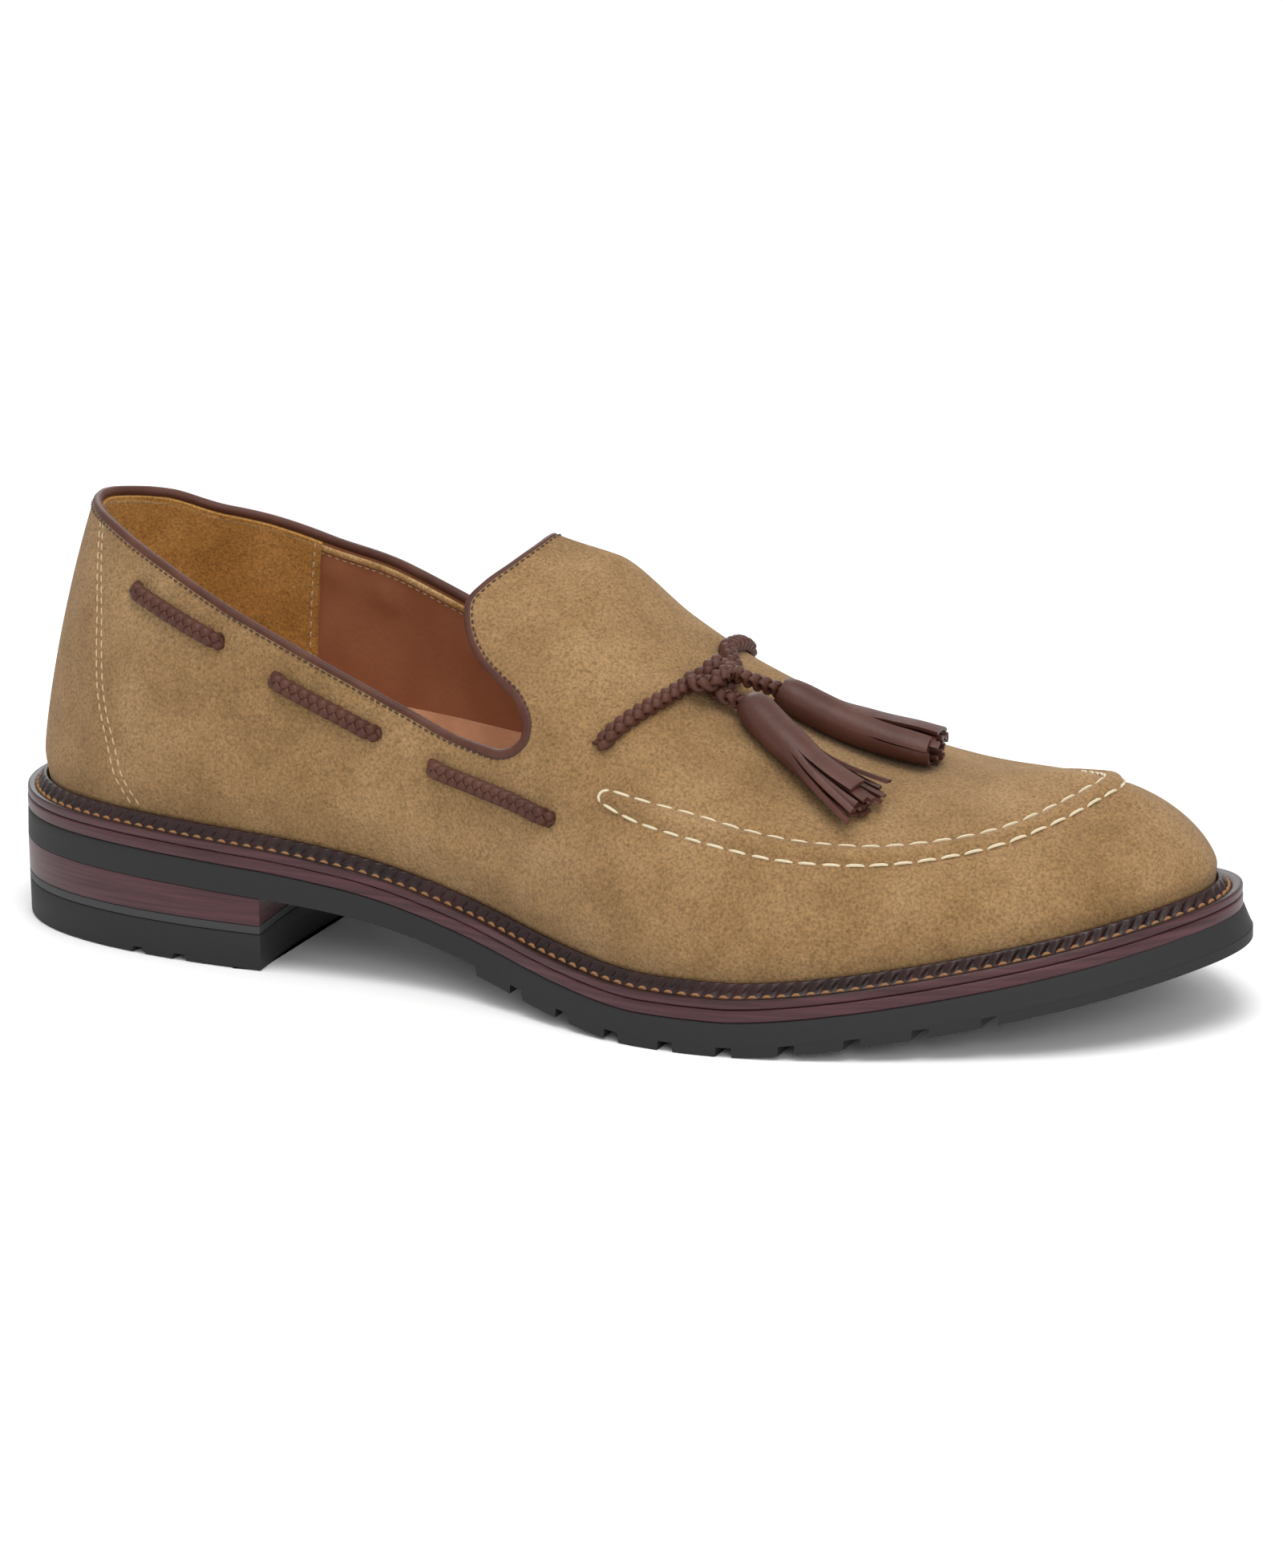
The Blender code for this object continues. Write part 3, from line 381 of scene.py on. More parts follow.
stage_floor()
lamp("over", (0.25, -0.35, 1.5), (0.0, 0.0, 0.0), 1.0, 15.0)
lamp("front", (1.1, -1.3, 0.75), (0.0, 0.0, 0.05), 0.8, 7.0)
lamp("behind", (-0.8, 1.2, 0.9), (0.0, 0.0, 0.05), 0.9, 7.0)
world = bpy.data.worlds.new("pale")
world.use_nodes = True
sky = world.node_tree.nodes["Background"]
sky.inputs["Color"].default_value = (1.0, 1.0, 1.0, 1.0)
sky.inputs["Strength"].default_value = 0.80
bpy.context.scene.world = world
bpy.context.scene.view_settings.view_transform = "Standard"

# %% [markdown]
# Finishes are made from noise in Object coordinates, so that they hold still when the camera
# moves. Suede is the hard one: it has no gloss, a fine nap that scatters, and cloudy patches where
# the nap lies the other way. Two noises of different size paint it, and a third raises the nap.

# %% Helpers for finishes
def finish(name, color, roughness, **sockets):
    """A Principled material with its plain values set; returns material, nodes, links, shader."""
    made = bpy.data.materials.new(name)
    made.use_nodes = True
    shader = made.node_tree.nodes["Principled BSDF"]
    shader.inputs["Base Color"].default_value = (*color, 1.0)
    shader.inputs["Roughness"].default_value = roughness
    for socket, value in sockets.items():
        shader.inputs[socket.replace("_", " ")].default_value = value
    return made, made.node_tree.nodes, made.node_tree.links, shader


def object_place(nodes, links, stretch=(1.0, 1.0, 1.0)):
    """Object coordinates, stretched along each axis."""
    place = nodes.new("ShaderNodeTexCoord")
    mapping = nodes.new("ShaderNodeMapping")
    mapping.inputs["Scale"].default_value = stretch
    links.new(place.outputs["Object"], mapping.inputs["Vector"])
    return mapping.outputs["Vector"]


def noise(nodes, links, vector, scale, detail=3.0, rough=0.55):
    """Noise value in 0 to 1; scale is cycles per metre."""
    made = nodes.new("ShaderNodeTexNoise")
    made.inputs["Scale"].default_value = scale
    made.inputs["Detail"].default_value = detail
    made.inputs["Roughness"].default_value = rough
    links.new(vector, made.inputs["Vector"])
    return made.outputs["Fac"]


def ramp(nodes, links, value, stops):
    """Colour ramp through (place, colour) stops."""
    made = nodes.new("ShaderNodeValToRGB")
    edges = made.color_ramp.elements
    while len(edges) < len(stops):
        edges.new(0.5)
    for edge, (place, color) in zip(edges, stops):
        edge.position = place
        edge.color = (*color, 1.0)
    links.new(value, made.inputs["Fac"])
    return made.outputs["Color"]


def blend_colors(nodes, links, kind, share, first, second):
    """Two colours mixed by a kind of blend; share may be a number or a socket."""
    made = nodes.new("ShaderNodeMix")
    made.data_type = "RGBA"
    made.blend_type = kind
    if isinstance(share, float):
        made.inputs["Factor"].default_value = share
    else:
        links.new(share, made.inputs["Factor"])
    for value, socket in ((first, made.inputs[6]), (second, made.inputs[7])):
        if isinstance(value, tuple):
            socket.default_value = (*value, 1.0)
        else:
            links.new(value, socket)
    return made.outputs[2]


def bump(nodes, links, shader, height, strength, distance):
    """Bump from a height value into the shader's normal."""
    made = nodes.new("ShaderNodeBump")
    made.inputs["Strength"].default_value = strength
    made.inputs["Distance"].default_value = distance
    links.new(height, made.inputs["Height"])
    links.new(made.outputs["Normal"], shader.inputs["Normal"])


# %% Suede
NAP = 1500.0
NAP_RELIEF = 1100.0


def suede_finish(name, dark, middle, light, patch):
    """Cloudy patches under fine specks of nap, with a soft sheen."""
    made, nodes, links, shader = finish(name, middle, 0.95, Sheen_Weight=0.08, Sheen_Roughness=0.6,
                                        Specular_IOR_Level=0.08)
    vector = object_place(nodes, links)
    clouds = ramp(nodes, links, noise(nodes, links, vector, patch, 5.0, 0.62),
                  ((0.32, dark), (0.50, middle), (0.68, light)))
    specks = ramp(nodes, links, noise(nodes, links, vector, NAP, 4.0, 0.7),
                  ((0.30, (0.50, 0.48, 0.45)), (0.50, (1.0, 1.0, 1.0)), (0.72, (1.45, 1.43, 1.40))))
    links.new(blend_colors(nodes, links, "MULTIPLY", 1.0, clouds, specks), shader.inputs["Base Color"])
    bump(nodes, links, shader, noise(nodes, links, vector, NAP_RELIEF, 4.0, 0.75), 0.55, 0.6 * MM)
    return made


SUEDE = suede_finish("suede", (0.196, 0.113, 0.045), (0.248, 0.147, 0.063), (0.292, 0.181, 0.084), 42.0)
HEEL_SUEDE = suede_finish("honey_suede", (0.350, 0.170, 0.036), (0.430, 0.215, 0.053),
                          (0.500, 0.265, 0.075), 70.0)
STRIP_SUEDE = suede_finish("strip_suede", (0.33, 0.18, 0.06), (0.42, 0.25, 0.10), (0.50, 0.32, 0.15),
                           120.0)
print("suedes:", SUEDE.name, HEEL_SUEDE.name, STRIP_SUEDE.name)

# %% [markdown]
# Smooth leather has two browns in soft patches and a pebbled grain, which a cell pattern gives.
# A waxed edge shows streaks along the shoe, so its noise is stretched in X and Y and not in Z.
# Rubber has a fine even tooth, and thread is too thin to need more than a colour.

# %% Leathers, rubber and thread
def leather_finish(name, dark, light, roughness, grain, shine=0.3, patch=90.0):
    """Two browns in soft patches, and a bump of small cells for the grain."""
    made, nodes, links, shader = finish(name, light, roughness, Specular_IOR_Level=shine)
    vector = object_place(nodes, links)
    links.new(ramp(nodes, links, noise(nodes, links, vector, patch, 4.0), ((0.35, dark), (0.65, light))),
              shader.inputs["Base Color"])
    cells = nodes.new("ShaderNodeTexVoronoi")
    cells.inputs["Scale"].default_value = grain
    links.new(vector, cells.inputs["Vector"])
    bump(nodes, links, shader, cells.outputs["Distance"], 0.35, 0.12 * MM)
    return made


TRIM = leather_finish("trim_leather", (0.058, 0.020, 0.013), (0.090, 0.034, 0.022), 0.46, 900.0, 0.2)
TASSEL_LEATHER = leather_finish("tassel_leather", (0.058, 0.020, 0.014), (0.084, 0.031, 0.022), 0.44,
                                700.0, 0.25)
WELT_LEATHER = leather_finish("welt_leather", (0.013, 0.0045, 0.004), (0.030, 0.010, 0.009), 0.34,
                              500.0, 0.3)
LINING = leather_finish("lining_leather", (0.270, 0.102, 0.050), (0.325, 0.132, 0.067), 0.55,
                        700.0, 0.15, 40.0)
SOCK = leather_finish("insole_leather", (0.60, 0.33, 0.20), (0.72, 0.42, 0.26), 0.55, 700.0, 0.1)


def edge_finish(name, dark, light, roughness):
    """Burnished edge: brown streaks along the shoe, from noise stretched in X and Y."""
    made, nodes, links, shader = finish(name, light, roughness, Specular_IOR_Level=0.3)
    streaks = noise(nodes, links, object_place(nodes, links, (0.12, 0.12, 4.0)), 260.0, 4.0, 0.6)
    links.new(ramp(nodes, links, streaks, ((0.35, dark), (0.68, light))), shader.inputs["Base Color"])
    bump(nodes, links, shader, streaks, 0.25, 0.2 * MM)
    return made


def rubber_finish(name, color, roughness):
    """Matte rubber with a fine even tooth."""
    made, nodes, links, shader = finish(name, color, roughness, Specular_IOR_Level=0.25)
    tooth = noise(nodes, links, object_place(nodes, links), 1800.0, 2.0)
    bump(nodes, links, shader, tooth, 0.3, 0.2 * MM)
    return made


EDGE = edge_finish("edge_leather", (0.040, 0.013, 0.0155), (0.080, 0.029, 0.034), 0.42)
RUBBER = rubber_finish("rubber", (0.019, 0.019, 0.020), 0.68)
GREY = rubber_finish("grey_rand", (0.040, 0.040, 0.042), 0.60)
CREAM = finish("cream_thread", (0.60, 0.52, 0.36), 0.75)[0]
TAN_THREAD = finish("tan_thread", (0.46, 0.33, 0.19), 0.80)[0]
WELT_THREAD = finish("welt_thread", (0.26, 0.125, 0.048), 0.70)[0]
BROWN_THREAD = finish("brown_thread", (0.040, 0.018, 0.012), 0.70)[0]
# Painted shadow: a near-black finish for the shade inside the cuts where the lace goes in.
SLIT_SHADOW = finish("slit_shadow", (0.030, 0.014, 0.009), 0.90)[0]
print("finishes:", len(bpy.data.materials))

# %% [markdown]
# Every new piece is made the same way: arrays of points and faces go into a mesh, doubles are
# welded, the faces are turned outward, and the imported nodes that it stands for are hidden.

# %% Helpers for pieces
def grid_faces(rows, columns, wrap=False, first=0):
    """Quads of a grid whose points run row by row; wrap joins its last column to its first."""
    i = np.arange(rows - 1)[:, None]
    j = np.arange(columns if wrap else columns - 1)[None, :]
    n = (j + 1) % columns
    a = i * columns + j
    return first + np.stack([a, a + columns, (i + 1) * columns + n, i * columns + n], -1).reshape(-1, 4)


def join(parts):
    """Points and faces of several parts as one, each part's faces counted on."""
    points, faces, count = [], [], 0
    for some_points, some_faces in parts:
        some_points = np.asarray(some_points).reshape(-1, 3)
        points.append(some_points)
        faces.extend((np.asarray(f) + count) for f in some_faces)
        count += len(some_points)
    return np.vstack(points), faces


def piece(name, parts, material, stands_for=(), sharp=50.0, weld=2e-6):
    """One mesh from parts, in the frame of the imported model."""
    points, faces = join(parts)
    mesh = bpy.data.meshes.new(name)
    lists = [row for block in faces for row in np.atleast_2d(block).tolist()]
    mesh.from_pydata((points - CENTRE).tolist(), [], lists)
    work = bmesh.new()
    work.from_mesh(mesh)
    bmesh.ops.remove_doubles(work, verts=work.verts, dist=weld)
    bmesh.ops.dissolve_degenerate(work, edges=work.edges, dist=weld / 4)
    bmesh.ops.recalc_face_normals(work, faces=work.faces)
    work.to_mesh(mesh)
    work.free()
    mesh.materials.append(material)
    mesh.shade_smooth()
    mesh.set_sharp_from_angle(angle=math.radians(sharp))
    made = bpy.data.objects.new(name, mesh)
    bpy.context.scene.collection.objects.link(made)
    if stands_for:
        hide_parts(*stands_for)
    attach(made, "root")
    print(name, len(mesh.polygons), "faces")
    return made


def frames_along(path, normals, closed=False):
    """Unit directions along a path, across it and away from its ground, all at right angles."""
    if closed:
        along = np.roll(path, -1, axis=0) - np.roll(path, 1, axis=0)
    else:
        along = np.gradient(path, axis=0)
    along = along / np.linalg.norm(along, axis=1)[:, None]
    normals = normals - along * np.sum(normals * along, axis=1)[:, None]
    normals = normals / np.linalg.norm(normals, axis=1)[:, None]
    return along, np.cross(along, normals), normals


def tube(path, normals, half_width, half_height, sides=10, closed=False):
    """Ellipse carried along a path: centre + across cos(angle) + normal sin(angle)."""
    path = np.asarray(path)
    _, across, normals = frames_along(path, normals, closed)
    angle = 2 * np.pi * (np.arange(sides) + 0.5) / sides
    wide = np.broadcast_to(half_width, len(path))[:, None, None]
    high = np.broadcast_to(half_height, len(path))[:, None, None]
    rings = path[:, None] + across[:, None] * np.cos(angle)[None, :, None] * wide
    rings = rings + normals[:, None] * np.sin(angle)[None, :, None] * high
    if closed:
        rings = np.concatenate([rings, rings[:1]])
        return rings, [grid_faces(len(rings), sides, True)]
    last = (len(path) - 1) * sides
    caps = [np.arange(sides)[None, ::-1], last + np.arange(sides)[None]]
    return rings, [grid_faces(len(path), sides, True)] + caps


# %% [markdown]
# The upper is drawn on a last, the foot-shaped block that a shoemaker lasts leather over. Here the
# last is a fan of ribs, each from the feather line at the sole up to the spine. A rib swells with a
# smooth step to its widest level and closes as a quarter of a superellipse. All ribs are worked out
# at once and kept as one table of points, so that a stitch, a lace or a crease can be laid on it.

# %% The skin of the last
RIB_COUNT = 601
RISE_COUNT = 241
STATIONS = np.linspace(0.0, 1.0, RIB_COUNT)


def bulge(share, height):
    """Outward swell: smooth step of height over the widest level."""
    level = column(RIBS, "widest", share) * INSTEP
    u = np.clip(height / level, 0.0, 1.0)
    return column(RIBS, "bulge", share) * BALL_WIDTH * u * u * (3 - 2 * u)


def half_skin(side):
    """Points of one half: rows are stations from heel to toe, columns rise from feather to spine."""
    half = halves(FEATHER)[0 if side < 0 else 1]
    low, high = FEATHER[:, 0].min(), FEATHER[:, 0].max()
    share = (1 - np.cos(np.pi * STATIONS)) / 2
    x = low + (high - low) * share
    y = np.interp(x, half[:, 0], half[:, 1])
    spine_share = HEEL_POLE + (TOE_POLE - HEEL_POLE) * share
    spine_x = spine_share * LENGTH
    spine_y = column(RIBS, "across", spine_share) * BALL_WIDTH
    top = seat(spine_x) + column(RIBS, "spine", spine_share) * INSTEP
    foot = seat(x) + GAP
    place = x / LENGTH
    level = column(RIBS, "widest", place) * INSTEP
    power = 2 / column(RIBS, "lateral" if side < 0 else "medial", place)
    reach = np.hypot(spine_x - x, spine_y - y)
    low_height = level[:, None] * np.linspace(0.0, 1.0, 20)[None, :-1]
    turn = np.linspace(0.0, 1.0, 160)
    turn = (3 * turn**2 - 2 * turn**3) * math.pi / 2
    widest = reach + column(RIBS, "bulge", place) * BALL_WIDTH
    crown = widest[:, None] * np.cos(turn)
    crown[:, -1] = 0.0
    swell = reach[:, None] + bulge(place[:, None], low_height)
    radius = np.concatenate([swell, crown], axis=1)
    arch = (top - foot - level)[:, None] * np.sin(turn) ** power[:, None]
    height = np.concatenate([foot[:, None] + low_height, (foot + level)[:, None] + arch], axis=1)
    out_x = ((x - spine_x) / reach)[:, None]
    out_y = ((y - spine_y) / reach)[:, None]
    ribs = np.stack([spine_x[:, None] + out_x * radius, spine_y[:, None] + out_y * radius, height], -1)
    return np.stack([even(rib, RISE_COUNT) for rib in ribs])


lateral_skin = half_skin(-1)
medial_skin = half_skin(1)
SKIN = np.concatenate([lateral_skin, medial_skin[:, -2::-1]], axis=1)
by_station = np.gradient(SKIN, axis=0)
by_over = np.gradient(SKIN, axis=1)
SKIN_NORMALS = np.cross(by_station, by_over)
SKIN_NORMALS /= np.maximum(np.linalg.norm(SKIN_NORMALS, axis=-1), 1e-12)[..., None]


def read_table(table, station, over):
    """Bilinear reading of a table on the skin; over is -1 and 1 at the feather, 0 at the spine."""
    s = np.clip(np.asarray(station, float), 0.0, 1.0) * (RIB_COUNT - 1)
    o = (np.clip(np.asarray(over, float), -1.0, 1.0) + 1) * (RISE_COUNT - 1)
    i = np.minimum(s.astype(int), RIB_COUNT - 2)
    j = np.minimum(o.astype(int), 2 * RISE_COUNT - 3)
    u = (s - i)[..., None]
    v = (o - j)[..., None]
    near_side = table[i, j] * (1 - v) + table[i, j + 1] * v
    far_side = table[i + 1, j] * (1 - v) + table[i + 1, j + 1] * v
    return near_side * (1 - u) + far_side * u


def skin(station, over):
    """Points on the last."""
    return read_table(SKIN, station, over)


def skin_normal(station, over):
    """Outward unit normals on the last."""
    normals = read_table(SKIN_NORMALS, station, over)
    return normals / np.linalg.norm(normals, axis=-1)[..., None]


print("skin table", SKIN.shape, "highest", round(SKIN[..., 2].max() / MM, 1), "mm")

# %% [markdown]
# The opening is a closed line on the last: the outer topline from heel to throat, the tongue's
# edge, and the inner topline back. The suede stops halfway into the piping that covers its edge,
# so the line is set back into the leather by a given depth.

# %% The opening
QUARTER_STEPS = 110
TONGUE_STEPS = 44


def quarter_stations(count):
    """Stations closer together toward the throat corner."""
    u = np.linspace(0.0, 1.0, count)
    return THROAT * (1 - (1 - u) ** 1.6)


def opening_line():
    """Station and over of the opening: outer topline, tongue edge, inner topline."""
    stations = quarter_stations(QUARTER_STEPS)
    outer = np.stack([stations, column(TOPLINE, "lateral", stations) - 1], axis=-1)
    inner = np.stack([stations, 1 - column(TOPLINE, "medial", stations)], axis=-1)[::-1]
    height = skin(THROAT, -1.0)[2] + INSTEP
    half = open_curve([(e.station * LENGTH, (1 - e.up) * height) for e in TONGUE], TONGUE_STEPS + 1)
    station = half[:, 0] / LENGTH
    over = half[:, 1] / height
    share = (1 - column(TOPLINE, "medial", THROAT)) / (1 - column(TOPLINE, "lateral", THROAT))
    tongue = np.concatenate([np.stack([station, -over], -1),
                             np.stack([station, over * share], -1)[-2::-1]])
    return np.concatenate([outer, tongue[1:-1], inner[:-1]])


def opening_frames(line):
    """Point, outward normal and way into the leather at each place of the opening."""
    points = skin(line[:, 0], line[:, 1])
    along = np.roll(points, -1, axis=0) - np.roll(points, 1, axis=0)
    normals = skin_normal(line[:, 0], line[:, 1])
    into = np.cross(along, normals)
    return points, normals, into / np.linalg.norm(into, axis=1)[:, None]


def set_back(line, depth):
    """The line moved into the leather: least squares of the depth on the skin's two directions."""
    points, _, into = opening_frames(line)
    step = 3 * MM
    ahead = (skin(line[:, 0] + step, line[:, 1]) - points) / step
    over = (skin(line[:, 0], line[:, 1] + step) - skin(line[:, 0], line[:, 1] - step)) / (2 * step)
    rates = np.stack([ahead, over], axis=-1)
    square = np.einsum("nij,nik->njk", rates, rates)
    right_side = np.einsum("nij,ni->nj", rates, into * depth)
    moved = line + np.linalg.solve(square, right_side[..., None])[..., 0]
    moved[:, 0] = np.clip(moved[:, 0], 0.0, 1.0)
    return moved


OPENING = opening_line()
steps_round = np.linalg.norm(np.diff(skin(*OPENING.T), axis=0), axis=1)
print("opening", round(steps_round.sum() / MM), "mm round")

# %% [markdown]
# Lines sewn or cut into the suede are given as places on the last. The apron is a puffed
# band between two rows of stitches; the quarters are joined to the heel piece by two close rows.
# The inner side repeats the outer one, because the photograph hides it.

# %% Lines on the suede
Spot = namedtuple("Spot", "station up")
APRON_OUTER = (
    Spot(0.543, 0.391), Spot(0.559, 0.380), Spot(0.582, 0.376), Spot(0.614, 0.370),
    Spot(0.650, 0.362), Spot(0.700, 0.367), Spot(0.744, 0.399), Spot(0.784, 0.444),
    Spot(0.847, 0.564), Spot(0.907, 0.671), Spot(0.960, 0.717), Spot(1.000, 0.726),
)
APRON_INNER = (
    Spot(0.547, 0.427), Spot(0.561, 0.431), Spot(0.589, 0.438), Spot(0.621, 0.433),
    Spot(0.658, 0.428), Spot(0.699, 0.436), Spot(0.746, 0.475), Spot(0.788, 0.526),
    Spot(0.837, 0.632), Spot(0.903, 0.757), Spot(0.960, 0.813), Spot(1.000, 0.826),
)
HEEL_SEAM = (
    Spot(0.118, 0.566), Spot(0.166, 0.405), Spot(0.196, 0.238), Spot(0.214, 0.152),
    Spot(0.225, 0.077), Spot(0.232, 0.028),
)
ROW_GAP = 2.5 * MM
Stretch = namedtuple("Stretch", "start start_up end end_up")
LATERAL_STRETCHES = (
    Stretch(0.211, 0.470, 0.302, 0.426), Stretch(0.342, 0.387, 0.409, 0.341),
    Stretch(0.440, 0.312, 0.515, 0.303),
)
MEDIAL_STRETCHES = (
    Stretch(0.211, 0.476, 0.302, 0.470), Stretch(0.342, 0.466, 0.409, 0.440),
    Stretch(0.440, 0.400, 0.515, 0.345),
)


def line_on_skin(places, side, count=200):
    """Even points along a smooth line through places of one side, as station and over."""
    route = open_curve([(s.station * LENGTH, (1 - s.up) * 2 * INSTEP) for s in places], count)
    return np.stack([route[:, 0] / LENGTH, side * route[:, 1] / (2 * INSTEP)], axis=-1)


def round_the_toe(places):
    """Outer and inner side of a line that crosses the toe, joined, smoothed and spaced evenly."""
    outer = skin(*line_on_skin(places, -1).T)
    inner = skin(*line_on_skin(places, 1).T)[::-1]
    line = even(np.concatenate([outer, inner[1:]]), 400)
    kernel = np.ones(15) / 15
    smooth = [np.convolve(np.pad(line[:, k], 7, mode="reflect", reflect_type="odd"), kernel, "valid")
              for k in range(3)]
    return np.stack(smooth, axis=-1)


apron_out = round_the_toe(APRON_OUTER)
apron_in = round_the_toe(APRON_INNER)


def turn_end(outer, inner):
    """Half circle in space that joins two line ends, swelling away from the line behind it."""
    middle = (outer[0] + inner[0]) / 2
    spread = (outer[0] - inner[0]) / 2
    away = (outer[0] + inner[0]) / 2 - (outer[6] + inner[6]) / 2
    away = away / np.linalg.norm(away) * np.linalg.norm(spread)
    angle = np.linspace(0.0, np.pi, 16)[1:-1, None]
    return middle + spread * np.cos(angle) + away * np.sin(angle)


far_end = turn_end(apron_out[::-1], apron_in[::-1])
near_end = turn_end(apron_in, apron_out)
APRON = even(np.concatenate([apron_out, far_end, apron_in[::-1], near_end, apron_out[:1]]), 900)
APRON_MIDDLE = (apron_out + apron_in) / 2
print("apron band", round(np.linalg.norm(apron_out - apron_in, axis=1).mean() / MM, 1), "mm wide")

# %% [markdown]
# At each side of the heel two rows of thread hold the quarter over the heel piece. The second row
# is the first one moved toward the toe, because a machine with two needles sews both at once.

# %% Seams of the heel piece
seam_rows = []
for side in (-1, 1):
    first = line_on_skin(HEEL_SEAM, side, 120)
    seam_rows.append(first)
    seam_rows.append(first + (ROW_GAP / LENGTH, 0.0))
print("rows of heel seam:", len(seam_rows))

# %% [markdown]
# Suede is soft, so nothing on it is sharp. Each feature is a soft hill or trough that fades with
# the distance to its line: the apron swells, thread pulls it in, slits dent it and the vamp shows a
# few creases where the foot bends it.

# %% Relief of the suede
Crease = namedtuple("Crease", "from_station from_up to_station to_up depth width")
CREASES = (
    Crease(0.520, 0.60, 0.545, 0.42, 0.00045, 0.0045),
    Crease(0.600, 0.30, 0.680, 0.20, 0.00040, 0.0050),
    Crease(0.640, 0.62, 0.700, 0.50, 0.00035, 0.0045),
    Crease(0.300, 0.28, 0.400, 0.20, 0.00050, 0.0060),
    Crease(0.420, 0.22, 0.520, 0.15, 0.00045, 0.0055),
    Crease(0.150, 0.30, 0.175, 0.14, 0.00035, 0.0050),
)
BAND_HALF = 2.7 * MM
BAND_PUFF = 1.4 * MM
HOLES = (Spot(0.534, 0.515), Spot(0.560, 0.750))
INNER_CREASE = 0.7
Dent = namedtuple("Dent", "depth width")
APRON_PULL = Dent(0.50 * MM, 1.0 * MM)
SEAM_PULL = Dent(0.16 * MM, 0.7 * MM)
SLIT_DENT = Dent(0.90 * MM, 4.2 * MM)
HOLE_DENT = Dent(1.00 * MM, 4.2 * MM)


def distance_to(points, line):
    """Distance from each point to the nearest point of a fine line, worked out in blocks."""
    found = np.empty(len(points))
    for k in range(0, len(points), 3000):
        gap = points[k:k + 3000, None, :] - line[None]
        found[k:k + 3000] = np.sqrt(np.einsum("nmk,nmk->nm", gap, gap).min(axis=1))
    return found


def fade(distance, width):
    """Bell curve of a distance."""
    return np.exp(-(distance / width) ** 2)


def relief(points):
    """Height over the last at each point: swell of the apron less troughs, dents and creases."""
    middle = distance_to(points, even(APRON_MIDDLE, 700))
    height = BAND_PUFF * np.clip(1 - (middle / BAND_HALF) ** 2, 0.0, 1.0) ** 0.8
    height -= APRON_PULL.depth * fade(distance_to(points, APRON), APRON_PULL.width)
    for row in seam_rows:
        height -= SEAM_PULL.depth * fade(distance_to(points, skin(*row.T)), SEAM_PULL.width)
    for side, table in ((-1, LATERAL_STRETCHES), (1, MEDIAL_STRETCHES)):
        for row in table:
            for station, up in ((row.start, row.start_up), (row.end, row.end_up)):
                slit = skin(station, side * (1 - up))
                gap = np.linalg.norm(points - slit, axis=1)
                height -= SLIT_DENT.depth * fade(gap, SLIT_DENT.width)
    for side, spot in zip((-1, 1), HOLES):
        hole = skin(spot.station, side * (1 - spot.up))
        height -= HOLE_DENT.depth * fade(np.linalg.norm(points - hole, axis=1), HOLE_DENT.width)
    for crease in CREASES:
        for side in (-1, 1):
            share = np.linspace(0.0, 1.0, 60)
            station = crease.from_station + (crease.to_station - crease.from_station) * share
            up_share = crease.from_up + (crease.to_up - crease.from_up) * share
            line = skin(station, side * (1 - up_share))
            depth = crease.depth * (1.0 if side < 0 else INNER_CREASE)
            height -= depth * fade(distance_to(points, line), crease.width)
    return height


# %% [markdown]
# The upper is one skin in patches that share their borders: two quarters up to the topline, two
# halves of the vamp from the throat to the toe, and the tongue between the vamp and its edge. The
# vamp's border bulges toward the toe, so that the tongue's patch has room beside the throat corner.
# Solidify then gives the skin a wall with its lining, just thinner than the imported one.

# %% The upper
ROWS = 46
VAMP_STEPS = 150
TONGUE_ROWS = 40
BORDER_BULGE = 0.02


def upper_patches():
    """Station and over grids: each patch blends linearly between its two border lines."""
    edge = set_back(OPENING, BINDING)
    stations = quarter_stations(QUARTER_STEPS)
    count = QUARTER_STEPS
    outer_edge = edge[:count]
    inner_edge = np.concatenate([edge[:1] * (1, -1), edge[-count + 1:][::-1]])
    tongue = edge[count - 1:len(edge) - count + 2]
    rise = np.linspace(0.0, 1.0, ROWS)
    climb = np.linspace(0.0, 1.0, TONGUE_STEPS + 1)[1:]
    middle = (1 - abs(outer_edge[-1, 1]) + 1 - inner_edge[-1, 1]) / 2
    patches, bases = [], []
    for side, line in ((-1, outer_edge), (1, inner_edge)):
        split_up = 1 - np.abs(line[:, 1])
        station = stations[:, None] + (line[:, :1] - stations[:, None]) * rise
        patches.append((station, side * (1 - split_up[:, None] * rise)))
        corner, split = line[-1, 0], split_up[-1]
        ups = np.concatenate([split * rise, split + (1 - split) * climb])
        ahead = BORDER_BULGE * np.sin(np.pi * climb)
        places = np.concatenate([THROAT + (corner - THROAT) * rise,
                                 corner + (THROAT - corner) * climb + ahead])
        end = np.concatenate([middle * rise, middle + (1 - middle) * climb])
        share = np.linspace(0.0, 1.0, VAMP_STEPS)[:, None]
        patches.append((places + (1 - places) * share, side * (1 - (ups + (end - ups) * share))))
        bases.append(np.stack([places, side * (1 - ups)], axis=-1)[ROWS - 1:])
    foot = np.concatenate([bases[0], bases[1][-2::-1]])
    share = np.linspace(0.0, 1.0, TONGUE_ROWS + 1)[:, None]
    patches.append((foot[:, 0] + (tongue[:, 0] - foot[:, 0]) * share,
                    foot[:, 1] + (tongue[:, 1] - foot[:, 1]) * share))
    return patches


parts = [(skin(station, over), [grid_faces(*station.shape)]) for station, over in upper_patches()]
upper = piece("upper_suede", parts, SUEDE, ("upper",), sharp=180.0, weld=2e-5)


